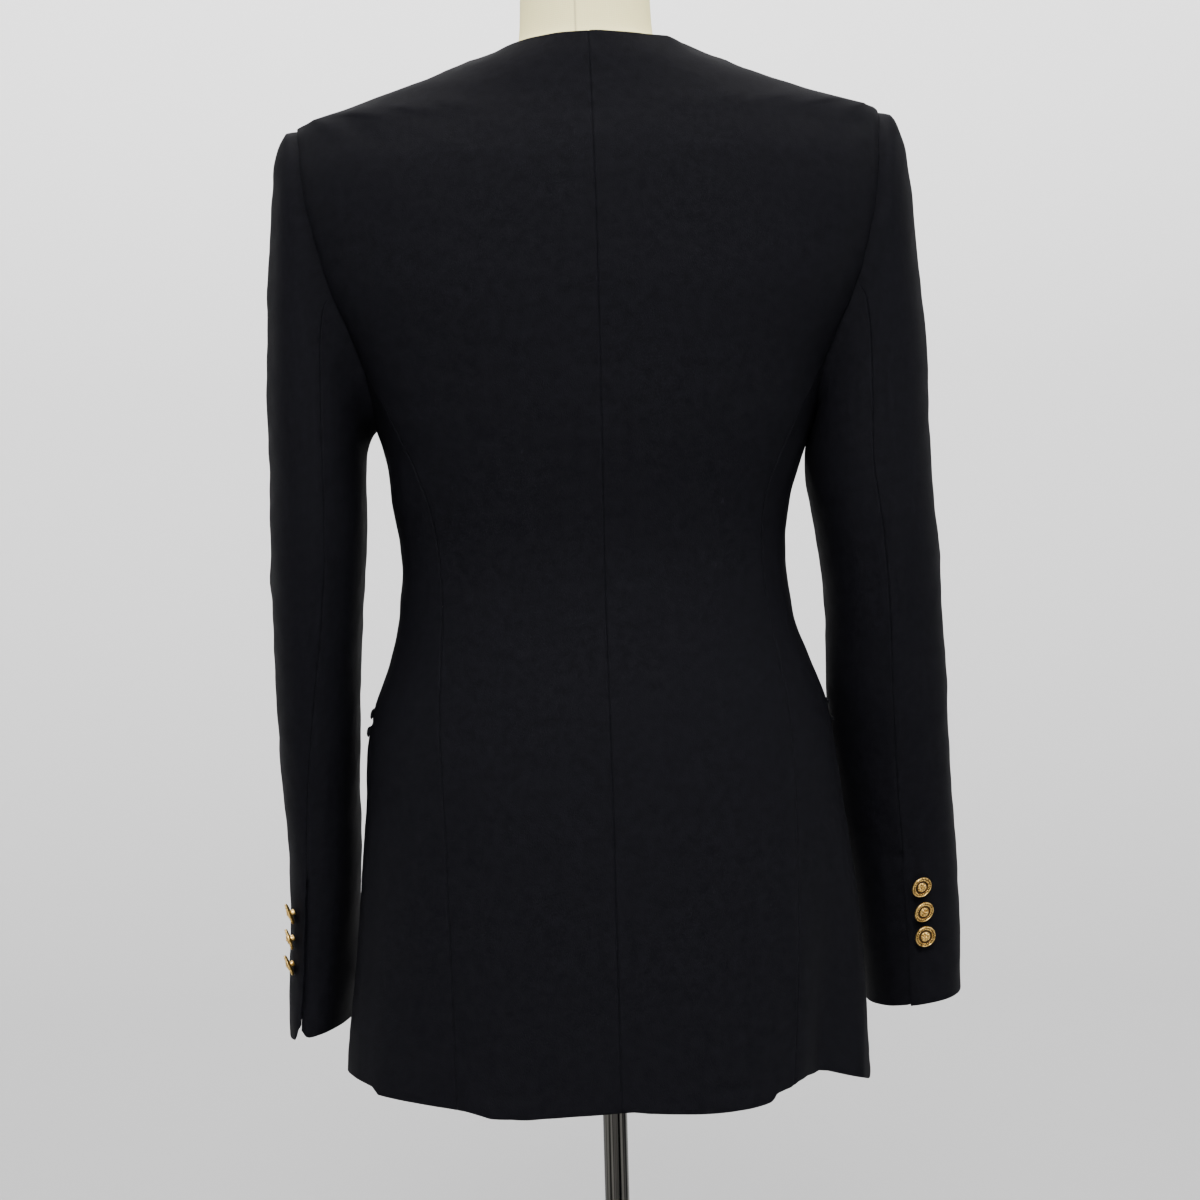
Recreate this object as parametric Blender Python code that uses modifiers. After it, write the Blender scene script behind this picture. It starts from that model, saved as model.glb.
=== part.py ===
"""A women's collarless blazer on a limbless dress form with a pole stand.

Metres, +Z up.  The wearer would face -Y, so the blazer's back faces +Y, and the wearer's
left side is +X.  The origin is the middle of the base's underside, on the pole's axis.

The cloth is a set of thin panels cut from one body form and two sleeve forms.  The body form
is a stack of level ovals, given in BODY_SECTIONS.  A sleeve form starts at the armhole's loop
of points and runs through the ovals in its own table.  Neighbouring panels share the same
row of points, and each edge is then drawn back by half the seam gap.
"""

import math
from collections import namedtuple

import bpy
from mathutils import Vector
from mathutils.bvhtree import BVHTree

# ----------------------------------------------------------------------------------------
# Driving dimensions
# ----------------------------------------------------------------------------------------

CLOTH = 0.0018            # wall of the body panels: crepe, canvas and lining together
SLEEVE_CLOTH = 0.0016     # wall of the sleeves
SEAM_GAP = 0.0004         # between neighbouring panels
SLEEVE_SEAM_GAP = 0.0006  # along the sleeves' own seams, which lie on tighter curves
SEAT_GAP = 0.0003         # between a piece and what carries it

HEM_HEIGHT = 0.420        # back hem above the floor
SHOULDER_TIP = 1.0785     # outer end of the shoulder seam
SHOULDER_HALF = 0.200     # from the centre line to the shoulder tips
NECK_HEIGHT = 1.127       # level of the back neckline and of the neck points
JOIN_HEIGHT = 0.905       # where both side seams run into the armhole

# The body's outer form.  left and right are half widths, back and front are depths from the
# pole's axis, and squareness is the power of the oval: 2 is an ellipse, 3 is boxy.
Section = namedtuple("Section", "height left right back front squareness")
BODY_SECTIONS = [
    Section(0.4200, 0.183, 0.173, 0.120, 0.118, 2.2),
    Section(0.4600, 0.180, 0.172, 0.119, 0.117, 2.2),
    Section(0.5100, 0.174, 0.172, 0.118, 0.116, 2.2),
    Section(0.5600, 0.169, 0.168, 0.116, 0.115, 2.2),
    Section(0.6100, 0.165, 0.163, 0.112, 0.113, 2.2),
    Section(0.6500, 0.163, 0.158, 0.106, 0.110, 2.2),
    Section(0.6800, 0.157, 0.152, 0.100, 0.106, 2.2),
    Section(0.7070, 0.147, 0.142, 0.093, 0.102, 2.2),
    Section(0.7340, 0.140, 0.132, 0.087, 0.098, 2.2),
    Section(0.7620, 0.1360, 0.1290, 0.083, 0.097, 2.2),
    Section(0.7890, 0.1375, 0.1285, 0.084, 0.099, 2.2),
    Section(0.8170, 0.1425, 0.1325, 0.089, 0.105, 2.3),
    Section(0.8450, 0.1450, 0.1415, 0.095, 0.113, 2.4),
    Section(0.8700, 0.1520, 0.1500, 0.099, 0.119, 2.5),
    Section(0.9050, 0.163, 0.160, 0.102, 0.121, 2.7),
    Section(0.9300, 0.173, 0.172, 0.104, 0.118, 2.9),
    Section(0.9550, 0.184, 0.184, 0.105, 0.114, 3.0),
    Section(0.9850, 0.1935, 0.1935, 0.103, 0.105, 3.0),
    Section(1.0150, 0.2005, 0.2005, 0.099, 0.094, 2.9),
    Section(1.0400, 0.2035, 0.2035, 0.093, 0.083, 2.7),
    Section(1.0600, 0.2040, 0.2040, 0.085, 0.072, 2.4),
    Section(1.0710, 0.2025, 0.2025, 0.080, 0.066, 2.3),
    Section(1.0785, 0.200, 0.200, 0.0765, 0.062, 2.2),
    Section(1.0870, 0.170, 0.168, 0.073, 0.058, 2.2),
    Section(1.0970, 0.142, 0.141, 0.069, 0.053, 2.2),
    Section(1.1075, 0.116, 0.116, 0.065, 0.048, 2.1),
    Section(1.1180, 0.086, 0.090, 0.060, 0.044, 2.1),
    Section(1.1270, 0.068, 0.074, 0.055, 0.040, 2.0),
]

NECK_DIP = 0.004          # neckline at the shoulder seams below the nape
NECK_DIP_FROM = 1.085     # level where that starts
NECK_DIP_RISE = 0.035     # and the height over which it grows
SHOULDER_TILT = 0.0026    # the left shoulder hangs this much lower, the right one higher
TILT_FROM = 0.900
TILT_RISE = 0.150
OVAL_SAMPLES = 48         # steps in which a stretch of an oval is measured

# The armhole, seen from the side, is an oval from the shoulder tip down to the underarm.
UNDERARM_HEIGHT = 0.868
ARMHOLE_BACK = 0.054
ARMHOLE_FRONT = 0.054
SIDE_TOP_ROOM = 0.005     # the side panels' last level row ends this far below the underarm

# Seams of the body, as the distance from the centre line at each height.
Seam = namedtuple("Seam", "height left right")
SIDE_BACK_SEAM = [
    Seam(0.4200, 0.105, 0.113),
    Seam(0.5100, 0.107, 0.119),
    Seam(0.6100, 0.109, 0.122),
    Seam(0.6800, 0.111, 0.119),
    Seam(0.7620, 0.108, 0.108),
    Seam(0.8170, 0.116, 0.110),
    Seam(0.8700, 0.138, 0.134),
]
SIDE_FRONT_SEAM = [
    Seam(0.4200, 0.136, 0.131),
    Seam(0.6100, 0.128, 0.126),
    Seam(0.7620, 0.112, 0.105),
    Seam(0.8170, 0.120, 0.109),
    Seam(0.8700, 0.139, 0.135),
]

# The front edge of the closed fronts.  inset is its distance from the centre line: negative
# is past it, under or over the other front.  From the top button it opens to the V neck.
FrontEdge = namedtuple("FrontEdge", "height inset")
FRONT_EDGE = [
    FrontEdge(0.4200, -0.018),
    FrontEdge(0.8450, -0.018),
    FrontEdge(0.8700, -0.010),
    FrontEdge(0.9050, 0.004),
    FrontEdge(0.9550, 0.020),
    FrontEdge(1.0000, 0.033),
    FrontEdge(1.0400, 0.045),
    FrontEdge(1.0785, 0.057),
    FrontEdge(1.1075, 0.067),
    FrontEdge(1.1270, 0.072),
]
LAP_REACH = 0.026         # from the centre line, where the right front starts to lie over
LAP_EASE = 0.050          # over which it rises from its own level to the lap
LAP_LIFT = CLOTH + 0.0006

# Soft folds of the skirt.  turn is the angle round the body: 0 left side, 90 centre back,
# 180 right side, 270 centre front.  stand_out is reached at the hem, negative is a trough.
Fold = namedtuple("Fold", "turn spread top stand_out")
SKIRT_FOLDS = [
    Fold(117, 13, 0.700, 0.0040),
    Fold(143, 12, 0.690, -0.0150),
    Fold(170, 14, 0.640, 0.0050),
    Fold(28, 16, 0.620, -0.0050),
    Fold(63, 12, 0.600, 0.0030),
    Fold(330, 16, 0.640, -0.0050),
    Fold(214, 15, 0.650, -0.0060),
    Fold(300, 13, 0.600, 0.0035),
]

# How far the hem rises above its height at the centre back.
HemRise = namedtuple("HemRise", "turn rise")
HEM_RISES = [
    HemRise(0, 0.011), HemRise(25, 0.008), HemRise(42, 0.009), HemRise(60, 0.006),
    HemRise(72, 0.000), HemRise(82, 0.002), HemRise(93, 0.0045), HemRise(106, 0.002),
    HemRise(118, 0.005), HemRise(131, 0.012), HemRise(143, 0.017), HemRise(154, 0.010),
    HemRise(167, 0.003), HemRise(180, -0.003), HemRise(205, 0.003), HemRise(240, 0.001),
    HemRise(270, 0.002), HemRise(310, 0.003), HemRise(335, 0.009), HemRise(360, 0.011),
]

# Columns of faces across each panel, and columns along the underarm.  A panel's first and
# last columns are narrow, so that its edges lie flush with its neighbours'.
BACK_COLUMNS = 7
FRONT_COLUMNS = 7
UNDERARM_COLUMNS = 6
EDGE_COLUMN = 0.0025

# The sleeves hang slightly forward.  x and y place each level oval's middle, half_width is
# across and half_depth front to back.  back_seam is the angle of the elbow seam round the
# sleeve: 0 faces outwards, 90 backwards, 180 the body.  The left sleeve is turned outwards.
Arm = namedtuple("Arm", "height x y half_width half_depth back_seam")
LEFT_ARM = [
    Arm(0.838, 0.1920, -0.004, 0.0325, 0.0650, 103),
    Arm(0.790, 0.1930, -0.006, 0.0322, 0.0640, 104),
    Arm(0.740, 0.1955, -0.012, 0.0308, 0.0625, 102),
    Arm(0.680, 0.1975, -0.022, 0.0284, 0.0610, 92),
    Arm(0.620, 0.1980, -0.034, 0.0262, 0.0595, 80),
    Arm(0.560, 0.1985, -0.045, 0.0243, 0.0585, 71),
    Arm(0.500, 0.2030, -0.052, 0.0218, 0.0580, 69),
    Arm(0.453, 0.2074, -0.056, 0.0195, 0.0580, 69),
]
RIGHT_ARM = [
    Arm(0.838, 0.1885, -0.004, 0.0430, 0.0590, 96),
    Arm(0.790, 0.1925, -0.006, 0.0414, 0.0580, 94),
    Arm(0.740, 0.1980, -0.012, 0.0395, 0.0570, 96),
    Arm(0.680, 0.2025, -0.022, 0.0390, 0.0560, 99),
    Arm(0.620, 0.2080, -0.034, 0.0370, 0.0540, 102),
    Arm(0.560, 0.2145, -0.045, 0.0350, 0.0520, 105),
    Arm(0.500, 0.2195, -0.052, 0.0335, 0.0500, 106),
    Arm(0.460, 0.2205, -0.055, 0.0315, 0.0480, 107),
]
SLEEVE_SQUARENESS = 2.2
UNDER_SLEEVE_SPREAD = 150.0     # degrees of the oval that the under sleeve covers
CAP_ROWS = 6                    # rows of faces from the armhole to the first oval
CAP_CROWDING = 1.6              # crowds those rows towards the armhole
HEAD_PUFF = 0.0042              # how far the sleeve head stands proud below the shoulder tip
PUFF_GROWS = 0.07               # share of the way down the head where it is full
PUFF_ENDS = 0.5                 # and where it has gone again
CAP_LEAVE = 0.29                # how strongly the head's curve leaves the armhole outwards
CAP_ARRIVE = 1.12               # and how strongly it ends pointing straight down
CAP_LEAST_FALL = 0.02           # slope at which the sleeve leaves the shoulder
CAP_MORE_FALL = 0.80            # steeper by this under the arm
CAP_FALL_FROM = 0.3             # on the armhole's height from 1 at the shoulder to -1 below
CAP_FALL_OVER = 1.3
CAP_BACK = 0.30                 # how far it also heads back or forward at the armhole's sides
CUFF_DROP = {"left": 0.005, "right": -0.004}   # outer side of the cuff below its middle

# Jetted pockets: two lips above one another, on each hip.
POCKET_HEIGHT = 0.668
POCKET_LENGTH = 0.135
POCKET_START_TURN = 6.0         # rear end, behind the side
LIP_WIDTH = 0.0065
LIP_THICKNESS = 0.0016
LIP_SPACING = 0.0120
LIP_COLUMNS = 9

# Buttons: domed metal with a raised rim, on a short shank.
CUFF_BUTTON_RADIUS = 0.0075
FRONT_BUTTON_RADIUS = 0.0100
BUTTON_STEPS = 16
ButtonPoint = namedtuple("ButtonPoint", "share height")     # share of the radius
BUTTON_PROFILE = [
    ButtonPoint(0.00, 0.0056), ButtonPoint(0.33, 0.0052), ButtonPoint(0.55, 0.0040),
    ButtonPoint(0.66, 0.0034), ButtonPoint(0.88, 0.0042), ButtonPoint(1.00, 0.0034),
    ButtonPoint(0.88, 0.0022), ButtonPoint(0.30, 0.0018), ButtonPoint(0.30, 0.0000),
    ButtonPoint(0.00, 0.0000),
]
BUTTON_SEARCH = 0.02            # how far off the cloth the search for a button's seat starts
CUFF_BUTTON_HEIGHTS = {"left": (0.5395, 0.5215, 0.5035), "right": (0.5452, 0.5276, 0.5100)}
# from the elbow seam to the buttons' middles, on the upper sleeve
CUFF_BUTTON_INSET = {"left": 0.0100, "right": 0.0088}
FRONT_BUTTON_HEIGHTS = (0.838, 0.752, 0.666)

# Dress form and stand.
# depth is how far the form's surface lies inside the cloth's outer face.  The blazer rests
# on the form's shoulders, and its skirt stands away from the form's hips.
FormDepth = namedtuple("FormDepth", "height depth")
FORM_DEPTHS = [
    FormDepth(0.5200, 0.0200),
    FormDepth(0.6200, 0.0120),
    FormDepth(0.7620, 0.0080),
    FormDepth(1.0400, 0.0080),
    FormDepth(1.0785, 0.0068),
    FormDepth(1.0870, 0.0050),
    FormDepth(1.0970, 0.0034),
    FormDepth(1.1075, 0.0030),
    FormDepth(1.1270, 0.0030),
]
FORM_BOTTOM = 0.520
FORM_COLUMNS = 28
NECK_TOP = 1.205
NeckRing = namedtuple("NeckRing", "height half_width back front")
NECK_RINGS = [
    NeckRing(1.1310, 0.0490, 0.0475, 0.0420),
    NeckRing(1.1380, 0.0455, 0.0450, 0.0440),
    NeckRing(NECK_TOP, 0.0445, 0.0440, 0.0440),
]
CAP_HEIGHT = 0.010
POLE_RADIUS = 0.0085
FLANGE_RADIUS = 0.027           # plate that carries the torso
FLANGE_THICKNESS = 0.004
FLANGE_NECK = 0.020             # height of the taper below the plate
BASE_RADIUS = 0.155
BASE_EDGE = 0.010
BASE_CROWN = 0.0155             # height of the base's middle ring
HUB_RADIUS = 0.022
HUB_FOOT = 0.019
HUB_TOP = 0.040
CAP_STEPS = 32
POLE_STEPS = 24
BASE_STEPS = 40

COLLECTION = "blazer_on_dress_form"


# ----------------------------------------------------------------------------------------
# Small helpers
# ----------------------------------------------------------------------------------------

def interpolated(rows, key, name, value):
    """Read one column of a table at any value of its key column, on a smooth curve."""
    keys = [getattr(row, key) for row in rows]
    column = [getattr(row, name) for row in rows]
    if value <= keys[0]:
        return column[0]
    if value >= keys[-1]:
        return column[-1]
    low = max(i for i in range(len(keys) - 1) if keys[i] <= value)

    def slope(i):
        before, after = max(i - 1, 0), min(i + 1, len(keys) - 1)
        return (column[after] - column[before]) / (keys[after] - keys[before])

    step = keys[low + 1] - keys[low]
    s = (value - keys[low]) / step
    return (column[low] * (1 + 2 * s) * (1 - s) ** 2
            + step * slope(low) * s * (1 - s) ** 2
            + column[low + 1] * s * s * (3 - 2 * s)
            + step * slope(low + 1) * s * s * (s - 1))


def signed_power(value, power):
    return math.copysign(abs(value) ** power, value)


def smooth_step(value):
    value = min(max(value, 0.0), 1.0)
    return value * value * (3 - 2 * value)


def turn_apart(a, b):
    """Angle between two turns, in degrees, the short way round."""
    return abs((a - b + 180) % 360 - 180)


def new_material(name, colour, roughness, metallic=0.0):
    material = bpy.data.materials.new(name)
    material.use_nodes = True
    shader = material.node_tree.nodes["Principled BSDF"]
    shader.inputs["Base Color"].default_value = (*colour, 1.0)
    shader.inputs["Roughness"].default_value = roughness
    shader.inputs["Metallic"].default_value = metallic
    return material


def add_object(name, mesh, material, collection):
    mesh.materials.append(material)
    mesh.shade_smooth()
    obj = bpy.data.objects.new(name, mesh)
    collection.objects.link(obj)
    return obj


def draw_in_edges(rows, gap=SEAM_GAP, first_row=False):
    """Pull a panel's side edges in by half the seam gap, and its first row if it is a seam."""
    for row in rows:
        for edge, inner in ((0, 1), (-1, -2)):
            towards = row[inner] - row[edge]
            row[edge] = row[edge] + towards.normalized() * min(gap / 2, towards.length / 3)
    if first_row:
        for column in range(len(rows[0])):
            towards = rows[1][column] - rows[0][column]
            rows[0][column] = rows[0][column] + towards.normalized() * SEAM_GAP / 2
    return rows


def add_panel(name, rows, thickness, material, collection):
    """Make a cloth panel from rows of points, walled inwards by its thickness."""
    mesh = bpy.data.meshes.new(name)
    columns = len(rows[0])
    vertices = [point for row in rows for point in row]
    faces = []
    for r in range(len(rows) - 1):
        for c in range(columns - 1):
            corner = r * columns + c
            faces.append((corner, corner + 1, corner + columns + 1, corner + columns))
    mesh.from_pydata(vertices, [], faces)
    obj = add_object(name, mesh, material, collection)
    wall = obj.modifiers.new("cloth wall", "SOLIDIFY")
    wall.thickness = thickness
    wall.offset = -1.0
    wall.use_even_offset = True
    return obj


def add_closed_rings(name, rings, material, collection):
    """Join closed rings of points, bottom to top, and cap both ends flat."""
    mesh = bpy.data.meshes.new(name)
    columns = len(rings[0])
    vertices = [point for ring in rings for point in ring]
    faces = []
    for r in range(len(rings) - 1):
        for c in range(columns):
            corner, beside = r * columns + c, r * columns + (c + 1) % columns
            faces.append((corner, beside, beside + columns, corner + columns))
    faces.append(tuple(reversed(range(columns))))
    faces.append(tuple(range((len(rings) - 1) * columns, len(rings) * columns)))
    mesh.from_pydata(vertices, [], faces)
    return add_object(name, mesh, material, collection)


def add_turned(name, profile, steps, material, collection):
    """Turn a profile of (radius, height) pairs, top to bottom, about the object's Z axis."""
    mesh = bpy.data.meshes.new(name)
    vertices = [(radius, 0.0, height) for radius, height in profile]
    mesh.from_pydata(vertices, [(i, i + 1) for i in range(len(profile) - 1)], [])
    obj = add_object(name, mesh, material, collection)
    screw = obj.modifiers.new("turned", "SCREW")
    screw.axis = "Z"
    screw.steps = steps
    screw.render_steps = steps
    screw.use_merge_vertices = True
    screw.merge_threshold = 0.00001
    return obj


# ----------------------------------------------------------------------------------------
# The body form
# ----------------------------------------------------------------------------------------

def section_at(height):
    return Section(height, *[interpolated(BODY_SECTIONS, "height", name, height)
                             for name in Section._fields[1:]])


def fold_offset(height, turn):
    """How far the skirt's folds push the cloth out at one place."""
    offset = 0.0
    for fold in SKIRT_FOLDS:
        near = turn_apart(turn, fold.turn) / fold.spread
        if near < 1.0 and height < fold.top:
            reach = smooth_step((fold.top - height) / (fold.top - HEM_HEIGHT))
            offset += fold.stand_out * reach * (0.5 + 0.5 * math.cos(math.pi * near))
    return offset


def oval_point(section, turn):
    """A point on one level oval, with no folds."""
    c, s = math.cos(math.radians(turn)), math.sin(math.radians(turn))
    power = 2.0 / section.squareness
    width = section.left if c > 0 else section.right
    depth = section.back if s > 0 else section.front
    x, y = width * signed_power(c, power), depth * signed_power(s, power)
    dip = NECK_DIP * c * c * smooth_step((section.height - NECK_DIP_FROM) / NECK_DIP_RISE)
    tilt = SHOULDER_TILT * x / SHOULDER_HALF * smooth_step((section.height - TILT_FROM) / TILT_RISE)
    return Vector((x, y, section.height - dip - tilt))


def body_point(height, turn):
    """A point on the cloth's outer face."""
    section = section_at(height)
    point = oval_point(section, turn)
    offset = fold_offset(height, turn)
    if offset:
        outwards = Vector((point.x / section.left ** 2, point.y / section.back ** 2, 0.0))
        point += outwards.normalized() * offset
    return point


def hem_point(turn):
    point = body_point(HEM_HEIGHT, turn)
    point.z += interpolated(HEM_RISES, "turn", "rise", turn % 360)
    return point


def body_normal(height, turn):
    """Outward direction of the body form."""
    small_turn, small_height = 0.5, 0.0005
    around = oval_point(section_at(height), turn + small_turn) \
        - oval_point(section_at(height), turn - small_turn)
    low = max(height - small_height, HEM_HEIGHT)
    high = min(height + small_height, NECK_HEIGHT)
    upwards = oval_point(section_at(high), turn) - oval_point(section_at(low), turn)
    return around.cross(upwards).normalized()


def turn_at_x(height, x, face):
    """Turn of the point at x, on the back (face 1) or the front (face -1)."""
    section = section_at(height)
    width = section.left if x > 0 else section.right
    c = signed_power(max(min(x / width, 1.0), -1.0), section.squareness / 2.0)
    turn = math.degrees(math.acos(c))
    return turn if face > 0 else 360.0 - turn


def turn_at_y(height, y, side):
    """Turn of the point at y, on the left (side 1) or the right (side -1)."""
    section = section_at(height)
    depth = section.back if y > 0 else section.front
    s = signed_power(max(min(y / depth, 1.0), -1.0), section.squareness / 2.0)
    turn = math.degrees(math.asin(s))
    return turn if side > 0 else 180.0 - turn


def even_turns(height, start, end, columns, edge=0.0):
    """Turns that cut the oval's stretch from start to end into equal lengths.

    With an edge, a narrow column of that width is added at each end.
    """
    section = section_at(height)
    turns = [start + (end - start) * i / OVAL_SAMPLES for i in range(OVAL_SAMPLES + 1)]
    lengths = [0.0]
    for a, b in zip(turns, turns[1:]):
        lengths.append(lengths[-1] + (oval_point(section, b) - oval_point(section, a)).length)
    cuts = [lengths[-1] * i / columns for i in range(columns + 1)]
    if edge:
        edge = min(edge, cuts[1] / 3)
        cuts = [0.0, edge] + cuts[1:-1] + [lengths[-1] - edge, lengths[-1]]
    even = []
    for wanted in cuts:
        k = 0
        while k < OVAL_SAMPLES - 1 and lengths[k + 1] < wanted:
            k += 1
        part = (wanted - lengths[k]) / max(lengths[k + 1] - lengths[k], 1e-9)
        even.append(turns[k] + (turns[k + 1] - turns[k]) * part)
    return even


# ----------------------------------------------------------------------------------------
# Seams and the armhole
# ----------------------------------------------------------------------------------------

ARMHOLE_MIDDLE = (SHOULDER_TIP + UNDERARM_HEIGHT) / 2
ARMHOLE_HALF = (SHOULDER_TIP - UNDERARM_HEIGHT) / 2


def armhole_depth(height, face):
    """How far behind (face 1) or before (face -1) the shoulder line the armhole's edge is."""
    rise = min(max((height - ARMHOLE_MIDDLE) / ARMHOLE_HALF, -1.0), 1.0)
    reach = ARMHOLE_BACK if face > 0 else ARMHOLE_FRONT
    return face * reach * math.sqrt(1.0 - rise * rise)


def outer_turn(height, side, face):
    """Turn of the outer edge of a back (face 1) or front (face -1) panel."""
    if height >= SHOULDER_TIP:
        return 0.0 if side > 0 else 180.0
    if height >= JOIN_HEIGHT:
        return turn_at_y(height, armhole_depth(height, face), side)
    seam = SIDE_BACK_SEAM if face > 0 else SIDE_FRONT_SEAM
    column = "left" if side > 0 else "right"
    join_x = abs(body_point(JOIN_HEIGHT, outer_turn(JOIN_HEIGHT, side, face)).x)
    rows = seam + [Seam(JOIN_HEIGHT, join_x, join_x)]
    x = side * interpolated(rows, "height", column, height)
    turn = turn_at_x(height, x, face)
    return turn - 360.0 if face < 0 and side > 0 else turn


def armhole_loop(side):
    """Points of the armhole, from the shoulder tip down the back, under and up the front."""
    heights = [row.height for row in BODY_SECTIONS if JOIN_HEIGHT <= row.height < SHOULDER_TIP]
    tip = body_point(SHOULDER_TIP, outer_turn(SHOULDER_TIP, side, 1))
    back = [body_point(h, outer_turn(h, side, 1)) for h in reversed(heights)]
    front = [body_point(h, outer_turn(h, side, -1)) for h in heights]
    under = underarm_points(side)[1:-1]
    return [tip] + back + under + front


def underarm_points(side):
    """The armhole's lowest stretch, from the side-back seam forward to the side-front seam."""
    back_y = armhole_depth(JOIN_HEIGHT, 1)
    front_y = armhole_depth(JOIN_HEIGHT, -1)
    cuts = [i / UNDERARM_COLUMNS for i in range(UNDERARM_COLUMNS + 1)]
    narrow = EDGE_COLUMN / (back_y - front_y)
    points = []
    for cut in [cuts[0], narrow] + cuts[1:-1] + [1.0 - narrow, cuts[-1]]:
        y = back_y + (front_y - back_y) * cut
        reach = ARMHOLE_BACK if y > 0 else ARMHOLE_FRONT
        height = ARMHOLE_MIDDLE - ARMHOLE_HALF * math.sqrt(1.0 - (y / reach) ** 2)
        points.append(body_point(height, turn_at_y(height, y, side)))
    return points


# ----------------------------------------------------------------------------------------
# Body panels
# ----------------------------------------------------------------------------------------

def row_points(height, turns):
    if height == HEM_HEIGHT:
        return [hem_point(turn) for turn in turns]
    return [body_point(height, turn) for turn in turns]


def add_back(side, material, collection):
    """Half of the back, from the centre back seam to the side seam, armhole and shoulder."""
    rows = []
    for section in BODY_SECTIONS:
        edge = outer_turn(section.height, side, 1)
        turns = even_turns(section.height, edge, 90.0, BACK_COLUMNS, EDGE_COLUMN)
        points = row_points(section.height, turns)
        rows.append(points if side > 0 else points[::-1])
    name = "back_left" if side > 0 else "back_right"
    return add_panel(name, draw_in_edges(rows), CLOTH, material, collection)


def add_side(side, material, collection):
    """The panel under the arm, whose top is the lowest stretch of the armhole."""
    rows = []
    for section in BODY_SECTIONS:
        if section.height >= UNDERARM_HEIGHT - SIDE_TOP_ROOM:
            break
        start = outer_turn(section.height, side, -1)
        end = outer_turn(section.height, side, 1)
        turns = even_turns(section.height, start, end, UNDERARM_COLUMNS, EDGE_COLUMN)
        rows.append(row_points(section.height, turns))
    rows.append(underarm_points(side)[::-1])
    if side < 0:
        rows = [row[::-1] for row in rows]
    rows = draw_in_edges(rows)
    for column, point in enumerate(rows[-1]):
        rows[-1][column] = point + Vector((0, 0, -SEAM_GAP / 2))
    name = "side_left" if side > 0 else "side_right"
    return add_panel(name, rows, CLOTH, material, collection)


def front_edge_turn(height, side):
    x = side * interpolated(FRONT_EDGE, "height", "inset", height)
    turn = turn_at_x(height, x, -1)
    return turn - 360.0 if side > 0 else turn


def lap_lift(x):
    """How far out the right front lies where it laps over the left one."""
    return LAP_LIFT * smooth_step((x + LAP_REACH + LAP_EASE) / LAP_EASE)


def add_front(side, material, collection):
    """Half of the front, with the V neck, from the side seam to its own front edge."""
    rows = []
    for section in BODY_SECTIONS[:-1]:
        start = front_edge_turn(section.height, side)
        end = outer_turn(section.height, side, -1)
        turns = even_turns(section.height, start, end, FRONT_COLUMNS, EDGE_COLUMN)
        points = row_points(section.height, turns)
        if side < 0:
            points = [point + body_normal(section.height, turn) * lap_lift(point.x)
                      for point, turn in zip(points, turns)]
            points.reverse()
        rows.append(points)
    name = "front_left" if side > 0 else "front_right"
    return add_panel(name, draw_in_edges(rows), CLOTH, material, collection)


# ----------------------------------------------------------------------------------------
# Sleeves
# ----------------------------------------------------------------------------------------

def arm_point(arm, side, turn):
    """A point on one of a sleeve's ovals."""
    c, s = math.cos(math.radians(turn)), math.sin(math.radians(turn))
    power = 2.0 / SLEEVE_SQUARENESS
    return Vector((side * (arm.x + arm.half_width * signed_power(c, power)),
                   arm.y + arm.half_depth * signed_power(s, power), arm.height))


def loop_shares(loop, seam_back, seam_front):
    """Each loop point's share of the way through the upper and the under sleeve."""
    count = len(loop)
    upper = [(seam_front + i) % count for i in range((seam_back - seam_front) % count + 1)]
    under = [(seam_back + i) % count for i in range((seam_front - seam_back) % count + 1)]
    shares = []
    for order in (upper, under):
        points = [loop[index] for index in order]
        points.insert(1, points[0].lerp(points[1], EDGE_COLUMN / (points[1] - points[0]).length))
        points.insert(-1, points[-1].lerp(points[-2], EDGE_COLUMN / (points[-2] - points[-1]).length))
        lengths = [0.0]
        for a, b in zip(points, points[1:]):
            lengths.append(lengths[-1] + (b - a).length)
        shares.append([(point, length / lengths[-1]) for point, length in zip(points, lengths)])
    return shares


def cap_point(start, outwards, end, share):
    """A point on the sleeve head's curve, from the armhole out and down to the first oval."""
    reach = (end - start).length
    rise = max((start.z - ARMHOLE_MIDDLE) / ARMHOLE_HALF, 0.0)
    puff = HEAD_PUFF * rise * smooth_step(share / PUFF_GROWS) * (1.0 - smooth_step(share / PUFF_ENDS))
    leave = outwards * CAP_LEAVE * reach
    arrive = Vector((0, 0, -CAP_ARRIVE * reach))
    s = share
    return (start * (1 + 2 * s) * (1 - s) ** 2 + leave * s * (1 - s) ** 2
            + end * s * s * (3 - 2 * s) + arrive * s * s * (s - 1) + outwards * puff)


def cap_direction(point, side):
    """The way the sleeve leaves the armhole: level at the top, downwards under the arm."""
    rise = (point.z - ARMHOLE_MIDDLE) / ARMHOLE_HALF
    fall = CAP_LEAST_FALL + CAP_MORE_FALL * smooth_step((CAP_FALL_FROM - rise) / CAP_FALL_OVER)
    back = CAP_BACK * point.y / ARMHOLE_BACK
    return Vector((side * 1.0, back, -fall)).normalized()


def sleeve_rows(side, arms, shares, seam_turns, cuff_drop):
    """Rows of points from the armhole to the cuff, for one of a sleeve's two pieces."""
    def ring(arm):
        start, end = seam_turns(arm)
        return [arm_point(arm, side, start + (end - start) * share) for _, share in shares]

    first = ring(arms[0])
    rows = []
    for r in range(CAP_ROWS):
        along = (r / CAP_ROWS) ** CAP_CROWDING
        rows.append([cap_point(start, cap_direction(start, side), end, along)
                     for (start, _), end in zip(shares, first)])
    rows += [ring(arm) for arm in arms]
    for column, point in enumerate(rows[-1]):
        outer = (side * point.x - arms[-1].x) / arms[-1].half_width
        rows[-1][column] = point + Vector((0, 0, -cuff_drop * outer))
    return rows


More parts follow.
